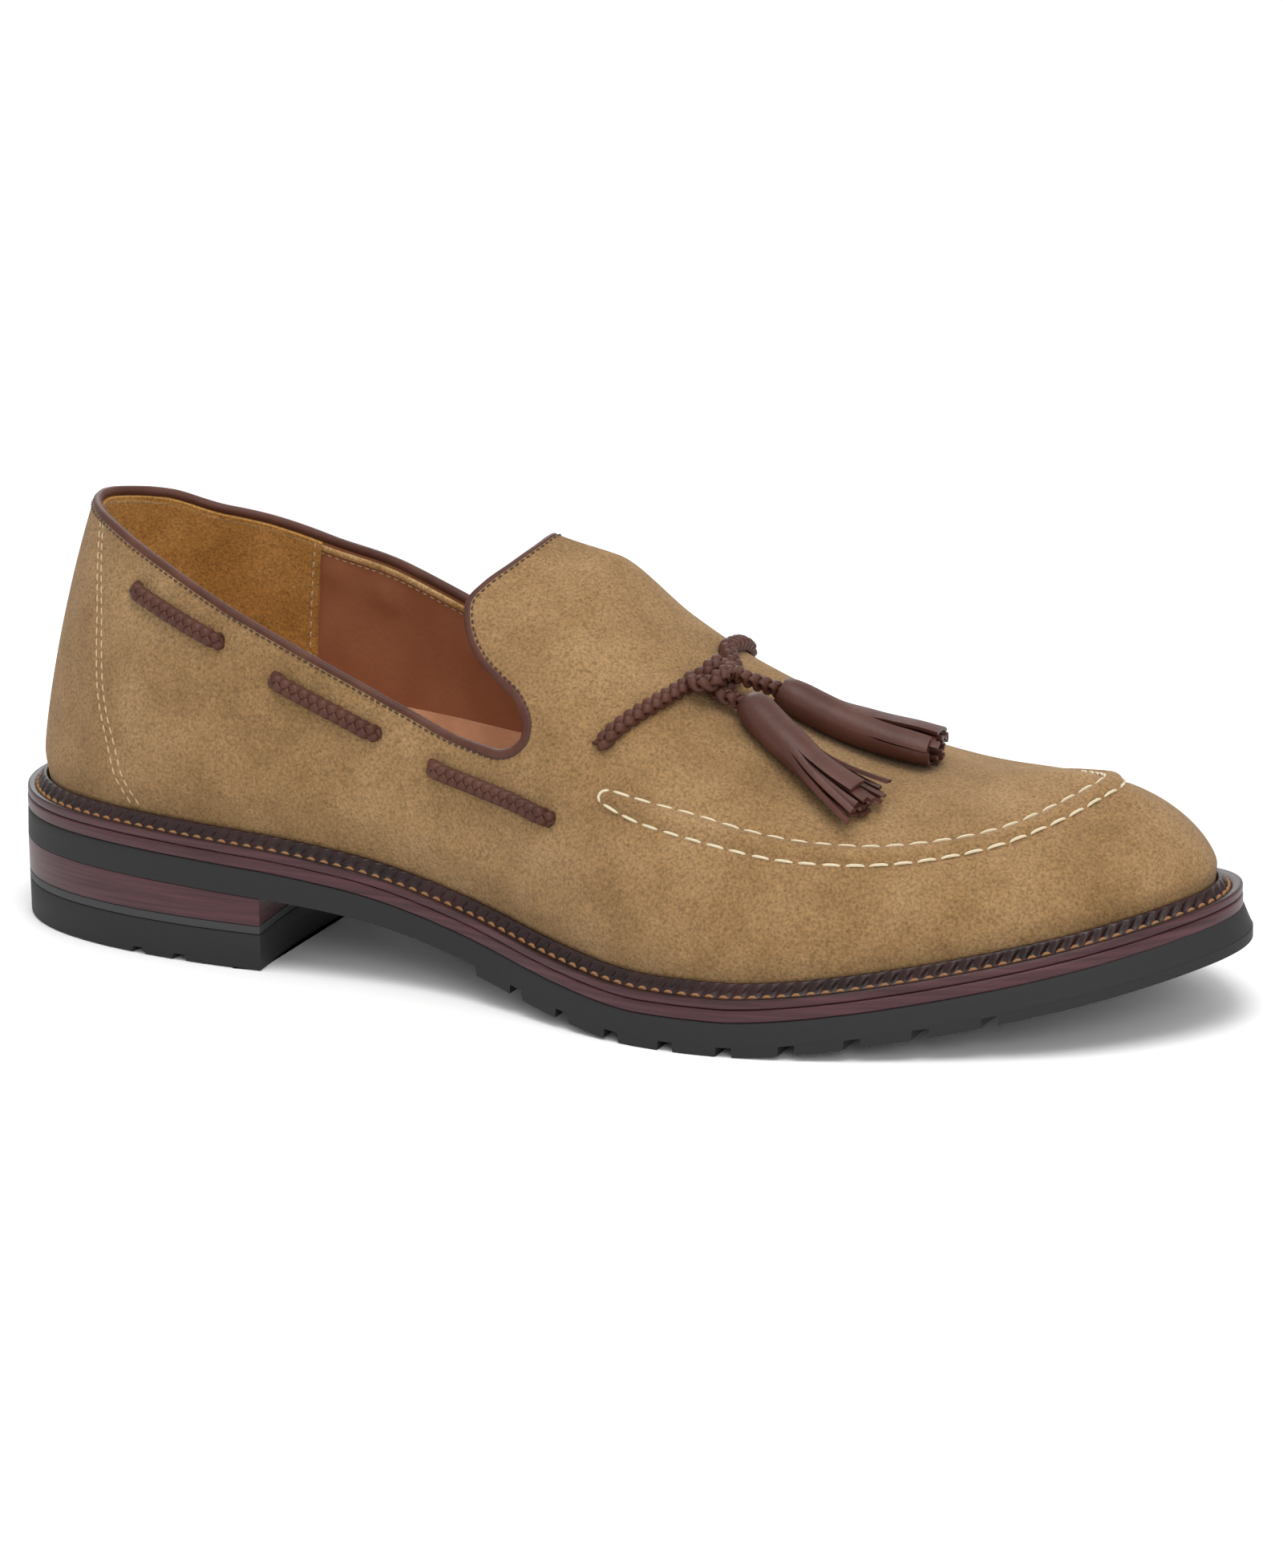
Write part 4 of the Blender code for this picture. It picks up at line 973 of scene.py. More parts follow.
def shape_upper(made):
    """Turn the skin outward and move each point along its normal by the relief."""
    mesh = made.data
    count = len(mesh.vertices)
    points = np.empty(count * 3)
    mesh.vertices.foreach_get("co", points)
    points = points.reshape(-1, 3)
    normals = np.empty(count * 3)
    mesh.vertices.foreach_get("normal", normals)
    normals = normals.reshape(-1, 3)
    outward = np.mean(np.sum(normals * (points - (0.0, 0.0, 0.03)), axis=1))
    if outward < 0:
        mesh.flip_normals()
        normals = -normals
    height = relief(points + CENTRE)
    mesh.vertices.foreach_set("co", (points + normals * height[:, None]).ravel())
    mesh.update()
    print("relief from", round(height.min() / MM, 2), "to", round(height.max() / MM, 2), "mm")


shape_upper(upper)
upper.data.materials.append(LINING)
wall = upper.modifiers.new("wall", "SOLIDIFY")
wall.thickness = WALL - 0.2 * MM
wall.offset = -1.0
wall.use_even_offset = False
wall.use_rim = True
wall.material_offset = 1
wall.material_offset_rim = 1

# %% [markdown]
# Piping covers the raw edge of the suede all round the opening. A thin strip of calf is turned over
# the edge, so it is a round bar here, a little thicker where it bunches at the throat corner.

# %% Piping
points, normals, into = opening_frames(OPENING)
bar = points + into * BINDING - normals * (WALL / 2)
PIPING_STEPS = 900
fine = even(np.concatenate([bar, bar[:1]]), PIPING_STEPS + 1)[:-1]
frame_normals = np.stack([np.interp(np.linspace(0, 1, PIPING_STEPS, endpoint=False),
                                    np.linspace(0, 1, len(normals) + 1),
                                    np.append(normals[:, k], normals[0, k])) for k in range(3)], -1)
corner = skin(THROAT, -1 + column(TOPLINE, "lateral", THROAT))
bunch = 1.0 + 0.35 * fade(np.linalg.norm(fine - corner, axis=1), 12 * MM)
piece("piping", [tube(fine, frame_normals, BINDING * bunch, BINDING * bunch, 12, True)], TRIM,
      ("collar_binding",), sharp=180.0)

# %% [markdown]
# A row of stitches is one shape repeated: a short thread that dips at both ends. All stitches of a
# row are worked out together, as an array of stitch by place along it by corner of its section.

# %% Rows of stitches
SIDES = 6
# Shares of a stitch's length from its middle, and the thread's thickness there.
THREAD_AT = np.array((-0.5, -0.42, -0.2, 0.0, 0.2, 0.42, 0.5))
THREAD_SIZE = np.array((0.35, 0.8, 1.0, 1.0, 1.0, 0.8, 0.35))


def stitch_row(path, normals, length, pitch, thick, lift=0.25, closed=False):
    """Threads along a line: height over it falls with the fourth power toward both ends."""
    loop = np.concatenate([path, path[:1]]) if closed else path
    far = np.concatenate([normals, normals[:1]]) if closed else normals
    run = np.concatenate([[0.0], np.cumsum(np.linalg.norm(np.diff(loop, axis=0), axis=1))])
    count = max(1, int(run[-1] / pitch))
    at = (np.arange(count) + 0.5)[:, None] * (run[-1] / count) + THREAD_AT * length
    at = np.clip(at, 0.0, run[-1])
    centre = np.stack([np.interp(at, run, loop[:, k]) for k in range(3)], axis=-1)
    normal = np.stack([np.interp(at, run, far[:, k]) for k in range(3)], axis=-1)
    normal /= np.linalg.norm(normal, axis=-1)[..., None]
    along = np.gradient(centre, axis=1)
    along /= np.maximum(np.linalg.norm(along, axis=-1), 1e-9)[..., None]
    across = np.cross(along, normal)
    height = thick * (2 * lift + 0.5) * (1 - (2 * THREAD_AT) ** 4) - thick * 0.5
    size = thick * THREAD_SIZE
    angle = 2 * np.pi * np.arange(SIDES) / SIDES
    ring = centre[:, :, None] + normal[:, :, None] * height[None, :, None, None]
    ring = ring + across[:, :, None] * (np.cos(angle)[None, :] * size[:, None])[None, ..., None]
    ring = ring + normal[:, :, None] * (np.sin(angle)[None, :] * size[:, None])[None, ..., None]
    points_each = len(THREAD_AT) * SIDES
    first = np.arange(count)[:, None, None] * points_each
    side_faces = (grid_faces(len(THREAD_AT), SIDES, True)[None] + first).reshape(-1, 4)
    caps = np.stack([np.arange(SIDES)[::-1], np.arange(SIDES) + points_each - SIDES])[None] + first
    return ring, [side_faces, caps.reshape(-1, SIDES)]


def lifted(line, normals):
    """A line moved onto the shaped suede."""
    return line + normals * relief(line)[:, None]


def nearest_normals(line):
    """Normals of the skin at the table point nearest to each point of a line in space."""
    table = SKIN[::6, ::6].reshape(-1, 3)
    ways = SKIN_NORMALS[::6, ::6].reshape(-1, 3)
    gap = line[:, None] - table[None]
    return ways[np.einsum("nmk,nmk->nm", gap, gap).argmin(axis=1)]


# %% [markdown]
# Three threads show on the suede: thick cream stitches round the apron, two fine rows at the heel
# and short brown stitches that hold the piping. The apron and heel rows lie on the suede as it is now
# shaped.

# %% Stitches on the suede
apron_normals = nearest_normals(APRON)
piece("apron_stitches", [stitch_row(lifted(APRON, apron_normals), apron_normals, 4.4 * MM, 5.3 * MM,
                                    0.36 * MM, 0.45, True)], CREAM)
rows = []
for row in seam_rows:
    normals = skin_normal(*row.T)
    rows.append(stitch_row(lifted(skin(*row.T), normals), normals, 1.9 * MM, 2.5 * MM, 0.22 * MM))
piece("heel_seam_stitches", rows, TAN_THREAD)
edge_row = set_back(OPENING, 2 * BINDING - 0.25 * MM)
normals = skin_normal(*edge_row.T)
row = stitch_row(skin(*edge_row.T), normals, 1.1 * MM, 1.7 * MM, 0.22 * MM, 0.3, True)
piece("piping_stitches", [row], BROWN_THREAD)

# %% [markdown]
# The lace is a plait of three flat leather strands. In a plait every strand swings from side to side
# while it goes over one neighbour and under the next, so its centre is a sine across the lace and a
# sine of twice the rate away from it, each strand a third of a turn after the one before.

# %% Braided lace
STRANDS = 3
PLAIT = 7.8 * MM
STRAND_WIDE = 1.12 * MM
STRAND_HIGH = 0.52 * MM
SWING_ROOM = 0.75 * MM
LIFT_ROOM = 0.62 * MM
LEAN = 0.55
BRAID_STEP = 0.36 * MM
SLIT_DIP = 2.2 * MM
DIP_SHARE = 0.10
ABOVE_SUEDE = 0.1 * MM


def braid(path, normals, width, height):
    """Strands round a path: across is the sine of the phase, lift the sine of twice the phase."""
    run = np.concatenate([[0.0], np.cumsum(np.linalg.norm(np.diff(path, axis=0), axis=1))])
    count = max(12, int(run[-1] / BRAID_STEP))
    at = np.linspace(0.0, run[-1], count)
    centre = np.stack([np.interp(at, run, path[:, k]) for k in range(3)], axis=-1)
    normal = np.stack([np.interp(at, run, normals[:, k]) for k in range(3)], axis=-1)
    along, across, normal = frames_along(centre, normal)
    parts = []
    for k in range(STRANDS):
        phase = 2 * np.pi * (at / PLAIT + k / STRANDS)
        side = np.sin(phase) * (width / 2 - SWING_ROOM)
        lift = np.sin(2 * phase) * (height / 2 - LIFT_ROOM)
        strand = centre + across * side[:, None] + normal * lift[:, None]
        lean = normal + across * (np.sin(phase) * LEAN)[:, None]
        parts.append(tube(strand, lean, STRAND_WIDE, STRAND_HIGH, 10))
    return parts


def lace_on_skin(start, end, side, count=60):
    """Route between two places of the suede, dipping at its ends by a quarter of a sine."""
    share = np.linspace(0.0, 1.0, count)
    station = start[0] + (end[0] - start[0]) * share
    over = side * (1 - (start[1] + (end[1] - start[1]) * share))
    normals = skin_normal(station, over)
    points = skin(station, over)
    out = np.clip(np.minimum(share, 1 - share) / DIP_SHARE, 0.0, 1.0)
    height = LACE_HEIGHT / 2 + ABOVE_SUEDE - (1 - np.sin(out * np.pi / 2)) * SLIT_DIP
    return points + normals * height[:, None], normals


# %% [markdown]
# Each stretch of lace comes out of one cut in the suede and goes into the next. The cut is a small
# arc that bends round the lace's end; its shade is painted as a thin dark bar tapering to both ends.

# %% Side laces and their slits
SLIT_STEPS = 9
SLIT_HALF = 2.5 * MM
SLIT_BEND = 0.9 * MM
SLIT_AHEAD = 0.6 * MM


def slit_shadow_bar(path, normal, at, step):
    """Painted shadow of a cut: a dark bar along a parabola across the lace, bent away from it, half width
    falling to the ends.
    """
    along = path[at + 4 * step] - path[at]
    along = along / np.linalg.norm(along)
    across = np.cross(along, normal)
    ground = path[at] - normal * (LACE_HEIGHT / 2 - SLIT_DIP)
    ground = ground + along * SLIT_AHEAD + normal * relief(ground[None])[0]
    spread = np.linspace(-1.0, 1.0, SLIT_STEPS)
    arc = ground + across * (spread * SLIT_HALF)[:, None] - along * (SLIT_BEND * (1 - spread**2))[:, None]
    half_width = 0.42 * MM * (1.1 - spread**2 * 0.8)
    return tube(arc, np.tile(normal, (SLIT_STEPS, 1)), half_width, 0.22 * MM, 6)


slits = []
for side, word, table in ((-1, "lateral", LATERAL_STRETCHES), (1, "medial", MEDIAL_STRETCHES)):
    for k, row in enumerate(table):
        path, normals = lace_on_skin((row.start, row.start_up), (row.end, row.end_up), side)
        name = f"side_lace_{word}_{k + 1}"
        piece(f"{name}_braid", braid(path, normals, LACE, LACE_HEIGHT), TRIM, (name,),
              sharp=180.0)
        slits.append(slit_shadow_bar(path, normals[0], 0, 1))
        slits.append(slit_shadow_bar(path, normals[-1], -1, -1))
# The dark bars at the cuts are painted shadow, standing in for the shade inside each cut.
piece("slit_shadow_bars", slits, SLIT_SHADOW, sharp=180.0)

# %% [markdown]
# The tie is the free part of the lace. Each half comes out of a slit in the vamp, crosses to the
# knot, winds through it and ends in its tassel. The turns of the knot are given as lists of places,
# because no formula gives a tied knot. A place in the knot is its distance toward the
# inner side, toward the toe and off the suede, all from the knot's middle.

# %% Routes of the tie
Place = namedtuple("Place", "station over")
LATERAL_HOLE = Place(0.534, -0.485)
MEDIAL_HOLE = Place(0.560, 0.250)
KNOT_PLACE = Place(0.5745, -0.180)
TASSEL_LATERAL = (Place(0.603, -0.207), Place(0.689, -0.424))
TASSEL_MEDIAL = (Place(0.614, -0.070), Place(0.741, -0.012))

knot_centre = skin(*KNOT_PLACE)
knot_up = skin_normal(*KNOT_PLACE)
knot_across = skin(*MEDIAL_HOLE) - skin(*LATERAL_HOLE)
knot_across = knot_across - knot_up * (knot_across @ knot_up)
knot_across = knot_across / np.linalg.norm(knot_across)
knot_ahead = np.cross(knot_across, knot_up)
if knot_ahead[0] < 0:
    knot_ahead = -knot_ahead

# Places through the knot, in millimetres.
LATERAL_WIND = ((-6.6, -2.4, 1.9), (-3.6, -1.6, 3.2), (-0.2, -1.4, 5.2), (3.4, -1.0, 5.6),
                (5.4, 1.2, 3.8), (3.4, 3.2, 2.2), (0.2, 2.8, 2.2), (-2.2, 4.4, 3.2))
MEDIAL_WIND = ((8.6, 1.6, 2.0), (5.0, 0.6, 1.9), (1.2, -0.8, 1.8), (-2.8, -2.8, 2.4),
               (-5.6, -0.8, 3.8), (-4.6, 1.8, 5.4), (-1.0, 2.4, 6.6), (3.0, 2.2, 6.2), (5.6, 4.2, 4.8))


def in_knot(place):
    """Point in space of a place through the knot."""
    return knot_centre + (knot_across * place[0] + knot_ahead * place[1] + knot_up * place[2]) * MM


def tassel_ends(start, toward):
    """Start and far end of a tassel: the step toward a place, scaled to the tassel's length."""
    span = np.linalg.norm(skin(*toward) - skin(*start))
    share = TASSEL_LENGTH / span
    end = Place(start.station + (toward.station - start.station) * share,
                start.over + (toward.over - start.over) * share)
    return start, end


def over_vamp(start, end, shares, height):
    """Points at shares between two places, at heights over the suede."""
    shares = np.asarray(shares, float)
    station = start.station + (end.station - start.station) * shares
    over = start.over + (end.over - start.over) * shares
    normal = skin_normal(station, over)
    return skin(station, over) + normal * np.asarray(height)[..., None], normal


def tie_route(hole, wind, tassel):
    """Control points from a hole over the suede, through the knot and into the tassel's head."""
    out, _ = over_vamp(hole, KNOT_PLACE, (0.0, 0.10, 0.25, 0.42, 0.58),
                       np.array((-0.6, 1.1, 1.5, 1.6, 1.9)) * MM)
    start, end = tassel_ends(*tassel)
    into_head, _ = over_vamp(start, end, (0.0, 0.10), np.array((4.2, 4.3)) * MM)
    return np.vstack([out, [in_knot(p) for p in wind], into_head])


# %% [markdown]
# Both halves of the tie are plaits along their routes. A plait needs to know which way is up: near
# its hole that is the suede's own way, and farther on it is the knot's, with a blend between.

# %% The tie
TIE_HEIGHT = 3.2 * MM
TIE_STEPS = 160
BLEND_STEPS = 60
for word, hole, wind, tassel in (("lateral", LATERAL_HOLE, LATERAL_WIND, TASSEL_LATERAL),
                                 ("medial", MEDIAL_HOLE, MEDIAL_WIND, TASSEL_MEDIAL)):
    route = open_curve(tie_route(hole, wind, tassel), TIE_STEPS)
    near_hole = np.clip(1 - np.arange(TIE_STEPS) / BLEND_STEPS, 0.0, 1.0)[:, None]
    away = knot_up * (1 - near_hole) + skin_normal(*hole) * near_hole
    nodes = (f"vamp_lace_{word}", f"lace_end_{word}") + (("lace_knot",) if word == "lateral" else ())
    lace = piece(f"tie_{word}", braid(route, away, LACE, TIE_HEIGHT), TRIM, nodes,
                 sharp=180.0)
    print(word, "lace", round(np.linalg.norm(np.diff(route, axis=0), axis=1).sum() / MM, 1), "mm")

# %% [markdown]
# A tassel is a piece of leather, cut into fringe along one edge and rolled up round the lace. So it
# is made here as one roll whose wall is parted into strips: up to its cut a strip is a share of the
# roll, and past it the strip splays, lifts and narrows a little. The outer strips are listed after
# the photograph; the ones inside the roll follow a fixed random seed.

# %% Strips of the tassels
Strip = namedtuple("Strip", "from_angle to_angle cut reach splay lift")
FRINGE = 0.9 * MM
# Angles in degrees round the roll, 0 toward the outer side and 90 up; splay and lift in millimetres.
NEAR_STRIPS = (
    Strip(58, 126, 0.52, 0.90, -0.4, 0.9), Strip(34, 58, 0.44, 1.00, 2.6, -0.5),
    Strip(8, 34, 0.42, 1.03, 4.0, -0.8), Strip(-20, 8, 0.44, 0.96, 2.2, 0.0),
    Strip(126, 158, 0.50, 1.00, -3.8, 0.9), Strip(158, 186, 0.50, 0.97, -1.2, 0.0),
    Strip(186, 222, 0.50, 1.00, -0.6, 0.0), Strip(222, 258, 0.50, 0.98, 0.2, 0.0),
    Strip(258, 298, 0.50, 1.02, 0.4, 0.0), Strip(298, 340, 0.50, 0.99, 0.8, 0.0),
)
FAR_STRIPS = (
    Strip(64, 150, 0.50, 1.00, -0.5, 0.9), Strip(8, 64, 0.50, 0.97, 0.7, -0.3),
    Strip(-40, 8, 0.55, 0.99, 0.2, 0.0), Strip(150, 190, 0.55, 1.01, -0.4, 0.0),
    Strip(190, 230, 0.55, 0.99, -0.2, 0.0), Strip(230, 275, 0.55, 1.01, 0.0, 0.0),
    Strip(275, 320, 0.55, 0.98, 0.2, 0.0),
)
Roll = namedtuple("Roll", "along half_width half_height lift")
# Half sizes and height over the suede in millimetres at shares of the tassel's length.
NEAR_ROLL = (
    Roll(-0.02, 3.3, 2.9, 4.3), Roll(0.02, 4.3, 3.7, 4.3), Roll(0.10, 4.8, 4.0, 4.3),
    Roll(0.30, 4.8, 4.0, 4.3), Roll(0.50, 4.7, 3.5, 4.0), Roll(0.75, 5.0, 2.9, 3.6),
    Roll(1.05, 5.3, 2.5, 3.2),
)
FAR_ROLL = (
    Roll(-0.02, 3.1, 2.9, 4.2), Roll(0.02, 4.1, 3.7, 4.2), Roll(0.10, 4.7, 4.1, 4.3),
    Roll(0.30, 5.2, 4.2, 4.4), Roll(0.50, 6.6, 4.5, 4.7), Roll(0.75, 7.4, 4.5, 4.8),
    Roll(1.05, 7.0, 4.0, 4.4),
)


def sheet(over, under):
    """Closed solid between two grids of points with the same rows and columns."""
    rows, columns = over.shape[:2]
    size = rows * columns
    border = np.concatenate([np.arange(columns), np.arange(1, rows) * columns + columns - 1,
                             (rows - 1) * columns + np.arange(columns - 1)[::-1],
                             (np.arange(1, rows - 1) * columns)[::-1]])
    after = np.roll(border, -1)
    walls = np.stack([border, after, after + size, border + size], axis=-1)
    faces = grid_faces(rows, columns)
    return np.stack([over, under]), [faces, faces + size, walls]


def strip_solid(places, roll, strip, ring=1.0, start=-0.02, columns=11):
    """Strip of a roll: middle + across width cos(angle) + normal height sin(angle), then its bend."""
    along = np.linspace(start, strip.reach, 44)
    loose = np.clip((along - strip.cut) / (1 - strip.cut), 0.0, None)
    middle, normal = over_vamp(*tassel_ends(*places), along, column(roll, "lift", along) * MM)
    _, across, normal = frames_along(middle, normal)
    centre = (strip.from_angle + strip.to_angle) / 2
    half = (strip.to_angle - strip.from_angle) / 2 * (1 - 0.10 * np.clip(loose * 6, 0.0, 1.0))
    angle = np.radians(centre + half[:, None] * np.linspace(-1.0, 1.0, columns))
    shift = across * (strip.splay * MM * loose**1.4)[:, None]
    shift = shift + normal * (strip.lift * MM * (loose**1.2 - 0.6 * loose**3))[:, None]
    faces = []
    for depth in (0.0, FRINGE):
        wide = column(roll, "half_width", along) * MM * ring - depth
        high = column(roll, "half_height", along) * MM * ring - depth
        grid = (middle + shift)[:, None] + across[:, None] * (wide[:, None] * np.cos(angle))[..., None]
        faces.append(grid + normal[:, None] * (high[:, None] * np.sin(angle))[..., None])
    return sheet(*faces)


def tassel_parts(places, roll, strips, seed):
    """Outer strips of the roll, and a shorter round of narrow strips inside it."""
    rng = np.random.default_rng(seed)
    parts = [strip_solid(places, roll, strip) for strip in strips]
    for ring, count in ((0.72, 9), (0.42, 6)):
        for k in range(count):
            at = 360 * (k + rng.uniform(-0.2, 0.2)) / count
            half = 360 / count * 0.42
            inside = Strip(at - half, at + half, 0.5, rng.uniform(0.93, 1.05), rng.uniform(-1.2, 1.2),
                           rng.uniform(-0.3, 0.3))
            parts.append(strip_solid(places, roll, inside, ring, 0.1, 5))
    return parts


# %% [markdown]
# Each tassel is one piece of fringe strips, and it takes the place of the imported tassel.

# %% Tassels
for word, places, roll, strips, seed in (("lateral", TASSEL_LATERAL, NEAR_ROLL, NEAR_STRIPS, 4),
                                         ("medial", TASSEL_MEDIAL, FAR_ROLL, FAR_STRIPS, 9)):
    piece(f"tassel_{word}_fringe", tassel_parts(places, roll, strips, seed),
                          TASSEL_LEATHER, (f"tassel_{word}",), sharp=45.0, weld=1e-6)

# %% [markdown]
# The sole is a stack of plates with the same outline. A plate's wall is a loop of points repeated
# at a few heights, set in at the top and bottom so that its edge catches the light as a worn, waxed
# edge does. Rungs from side to side close it above and below.

# %% Plates of the sole
RING = 720


def even_loop(loop, count=RING):
    """Evenly spaced points of a loop, starting at the back of the heel."""
    start = loop[:, 0].argmin()
    turned = np.roll(loop, -start, axis=0)
    return even(np.concatenate([turned, turned[:1]]), count + 1)[:-1]


def ring_cap(count, first):
    """Rungs between the two halves of a ring of points."""
    k = np.arange(1, count // 2 - 1)
    quads = np.stack([first + k, first + k + 1, first + count - k - 1, first + count - k], axis=-1)
    ends = np.array([[first, first + 1, first + count - 1],
                     [first + count // 2 - 1, first + count // 2, first + count // 2 + 1]])
    return quads, ends


def plate(rows):
    """Closed plate from rows of (loop, heights), top row first."""
    count = len(rows[0][0])
    rings = np.stack([np.column_stack([loop, height]) for loop, height in rows])
    top = ring_cap(count, 0)
    under = ring_cap(count, (len(rows) - 1) * count)
    return rings, [grid_faces(len(rows), count, True), *top, *under]


def edge_rows(loop, top, under, soft):
    """Wall rows of a plate with soft edges: quarter circles of radius soft above and below."""
    rows = []
    for angle in np.linspace(0.0, np.pi / 2, 5):
        rows.append((inset(loop, soft * (1 - math.sin(angle))), top - soft * (1 - math.cos(angle))))
    for angle in np.linspace(np.pi / 2, 0.0, 5):
        rows.append((inset(loop, soft * (1 - math.sin(angle))), under + soft * (1 - math.cos(angle))))
    return rows


JOINT = 0.1 * MM
rim = even_loop(RIM)
rim_seat = seat(rim[:, 0])
rows = edge_rows(rim, rim_seat - WELT - JOINT, rim_seat - WELT - MIDSOLE, 0.55 * MM)
piece("midsole_edge", [plate(rows)], EDGE, ("midsole",), sharp=60.0)

# %% [markdown]
# The rubber sole has a plain waist, then rows of lugs under the forefoot. Its wall flares a little
# toward the toe. A lug is a block of the outline between two notches, joined a little inside the
# underside, because that lets one function cut rows, lanes and the toe's long lug alike.

# %% Rubber sole
outer = even_loop(OUTER)
flare = TOE_FLARE * column(MARGINS, "flare", outer[:, 0] / LENGTH)
top_z = seat(outer[:, 0]) - WELT - MIDSOLE - JOINT
under_z = sole_under(outer[:, 0])
wall_rows = []
for share in (0.0, 0.04, 0.10, 0.35, 0.65, 1.0):
    soft = 0.35 * MM * max(0.0, 1 - share / 0.10) ** 2
    wall_rows.append((inset(outer, flare * (1 - share) + soft), top_z + (under_z - top_z) * share))


def rungs(loop, x, shares):
    """Plan points on straight rungs across a loop: each Y is a share between its two halves."""
    outer_half, inner_half = halves(loop)
    outer_y = np.interp(x, outer_half[:, 0], outer_half[:, 1])
    inner_y = np.interp(x, inner_half[:, 0], inner_half[:, 1])
    share = np.asarray(shares)[None, :]
    y = outer_y[:, None] * (1 - share) + inner_y[:, None] * share
    return np.stack([np.broadcast_to(x[:, None], y.shape), y], axis=-1)


def block(loop, x, shares, top, under, draft=0.25 * MM):
    """Closed block under a patch of the outline, its lower edges drawn in by a draft."""
    over = rungs(loop, x, shares)
    below = over.copy()
    below[0, :, 0] += draft
    below[-1, :, 0] -= draft
    if shares[0] > 0:
        below[:, 0, 1] += draft
    if shares[-1] < 1:
        below[:, -1, 1] -= draft
    upper_grid = np.concatenate([over, top(over[..., 0])[..., None]], -1)
    lower_grid = np.concatenate([below, under(below[..., 0])[..., None]], -1)
    return sheet(upper_grid, lower_grid)


def lug_top(x):
    """Just inside the sole's underside."""
    return sole_under(x) + 0.3 * MM


def lug_under(x):
    """Face of the lugs."""
    return sole_under(x) - LUG


LANES = ((0.0, 0.16), (0.20, 0.48), (0.52, 0.80), (0.84, 1.0))
lugs = []
for k in range(TREAD_NOTCHES):
    lug_start = TREAD_START + k * TREAD_PITCH
    x = np.linspace(lug_start, lug_start + TREAD_PITCH - TREAD_NOTCH, 13)
    for from_share, to_share in LANES:
        lugs.append(block(OUTER, x, np.linspace(from_share, to_share, 5), lug_top, lug_under))
toe_start = TREAD_START + TREAD_NOTCHES * TREAD_PITCH
toe_end = OUTER[:, 0].max()
x = toe_end - (toe_end - toe_start) * (1 - np.sin(np.linspace(0.0, np.pi / 2, 120)))
lugs.append(block(OUTER, x, np.linspace(0.0, 1.0, 25), lug_top, lug_under, 0.0))
piece("rubber_sole", [plate(wall_rows)] + lugs, RUBBER, ("outsole",), sharp=40.0)

# %% [markdown]
# The heel is built of layers: a burgundy leather lift, a thin grey layer and a rubber top piece.
# The front of the heel, its breast, is slightly hollow.

# %% Heel
HEEL_STEPS = 480


def heel_loop():
    """Closed line of the heel: the outline up to the breast, and a parabola across it."""
    outer_half, inner_half = halves(OUTER)
    across = np.linspace(0.0, 1.0, 60)
    outer_y = np.interp(BREAST, outer_half[:, 0], outer_half[:, 1])
    inner_y = np.interp(BREAST, inner_half[:, 0], inner_half[:, 1])
    hollow = BREAST_HOLLOW * 4 * across * (1 - across)
    arc = np.stack([BREAST - hollow, outer_y + (inner_y - outer_y) * across], -1)
    outer_side = outer_half[outer_half[:, 0] < BREAST]
    inner_side = inner_half[inner_half[:, 0] < BREAST][::-1]
    ring = np.concatenate([outer_side, arc, inner_side[:-1]])
    return even(np.concatenate([ring, ring[:1]]), HEEL_STEPS + 1)[:-1]


HEEL = heel_loop()


def capped_wall(rows):
    """Closed solid from rows of (loop, heights), top row first, with one face above and below."""
    count = len(rows[0][0])
    rings = np.stack([np.column_stack([loop, height]) for loop, height in rows])
    last = (len(rows) - 1) * count
    caps = [np.arange(count)[None, ::-1], last + np.arange(count)[None]]
    return rings, [grid_faces(len(rows), count, True)] + caps


level = np.ones(HEEL_STEPS)
lift_rows = edge_rows(HEEL, sole_under(HEEL[:, 0]) - JOINT, (TOP_PIECE + RAND + JOINT) * level, 0.25 * MM)
piece("heel_leather_lift", [capped_wall(lift_rows)], EDGE, ("heel_lift",), sharp=60.0)
grey_rows = edge_rows(HEEL, (TOP_PIECE + RAND) * level, (TOP_PIECE + JOINT) * level, 0.2 * MM)
piece("heel_grey_layer", [capped_wall(grey_rows)], GREY, ("heel_rand",), sharp=60.0)

# %% [markdown]
# The top piece has two notches at each side of its foot. They are steps in its lowest rows: where
# a notch lies, the wall's last rows stop higher.

# %% Top piece of the heel
def notch_height(plan):
    """Height of the top piece's foot: raised inside the notches near its two sides."""
    height = np.zeros(len(plan))
    for share in HEEL_NOTCH_SHARES:
        inside = (plan[:, 0] > share * BREAST) & (plan[:, 0] < share * BREAST + HEEL_NOTCH)
        height[inside] = HEEL_NOTCH_DEPTH
    return height


NOTCH_REACH = 7.0 * MM
foot = notch_height(HEEL)
rows = [(inset(HEEL, 0.3 * MM), TOP_PIECE * level),
        (HEEL, (TOP_PIECE - 0.3 * MM) * level),
        (HEEL, 5.0 * MM * level),
        (HEEL, np.maximum(foot, 0.5 * MM)),
        (inset(HEEL, 0.25 * MM), np.maximum(foot, 0.12 * MM)),
        (inset(HEEL, 0.6 * MM), foot),
        (inset(HEEL, NOTCH_REACH), foot),
        (inset(HEEL, NOTCH_REACH + 0.4 * MM), 0.0 * level)]
piece("heel_rubber_top", [capped_wall(rows)], RUBBER, ("heel_top_piece",), sharp=50.0)

# %% [markdown]
# A storm welt runs round the whole sole. Its outer part is a flat rim; beside the suede it turns up
# into a lip that keeps water out, and the lip's foot is crimped in slanting notches. It is one
# section carried round the feather line: a notch is a wave of the section's middle rows, and it
# slants because each row's wave starts a little later than the row above.

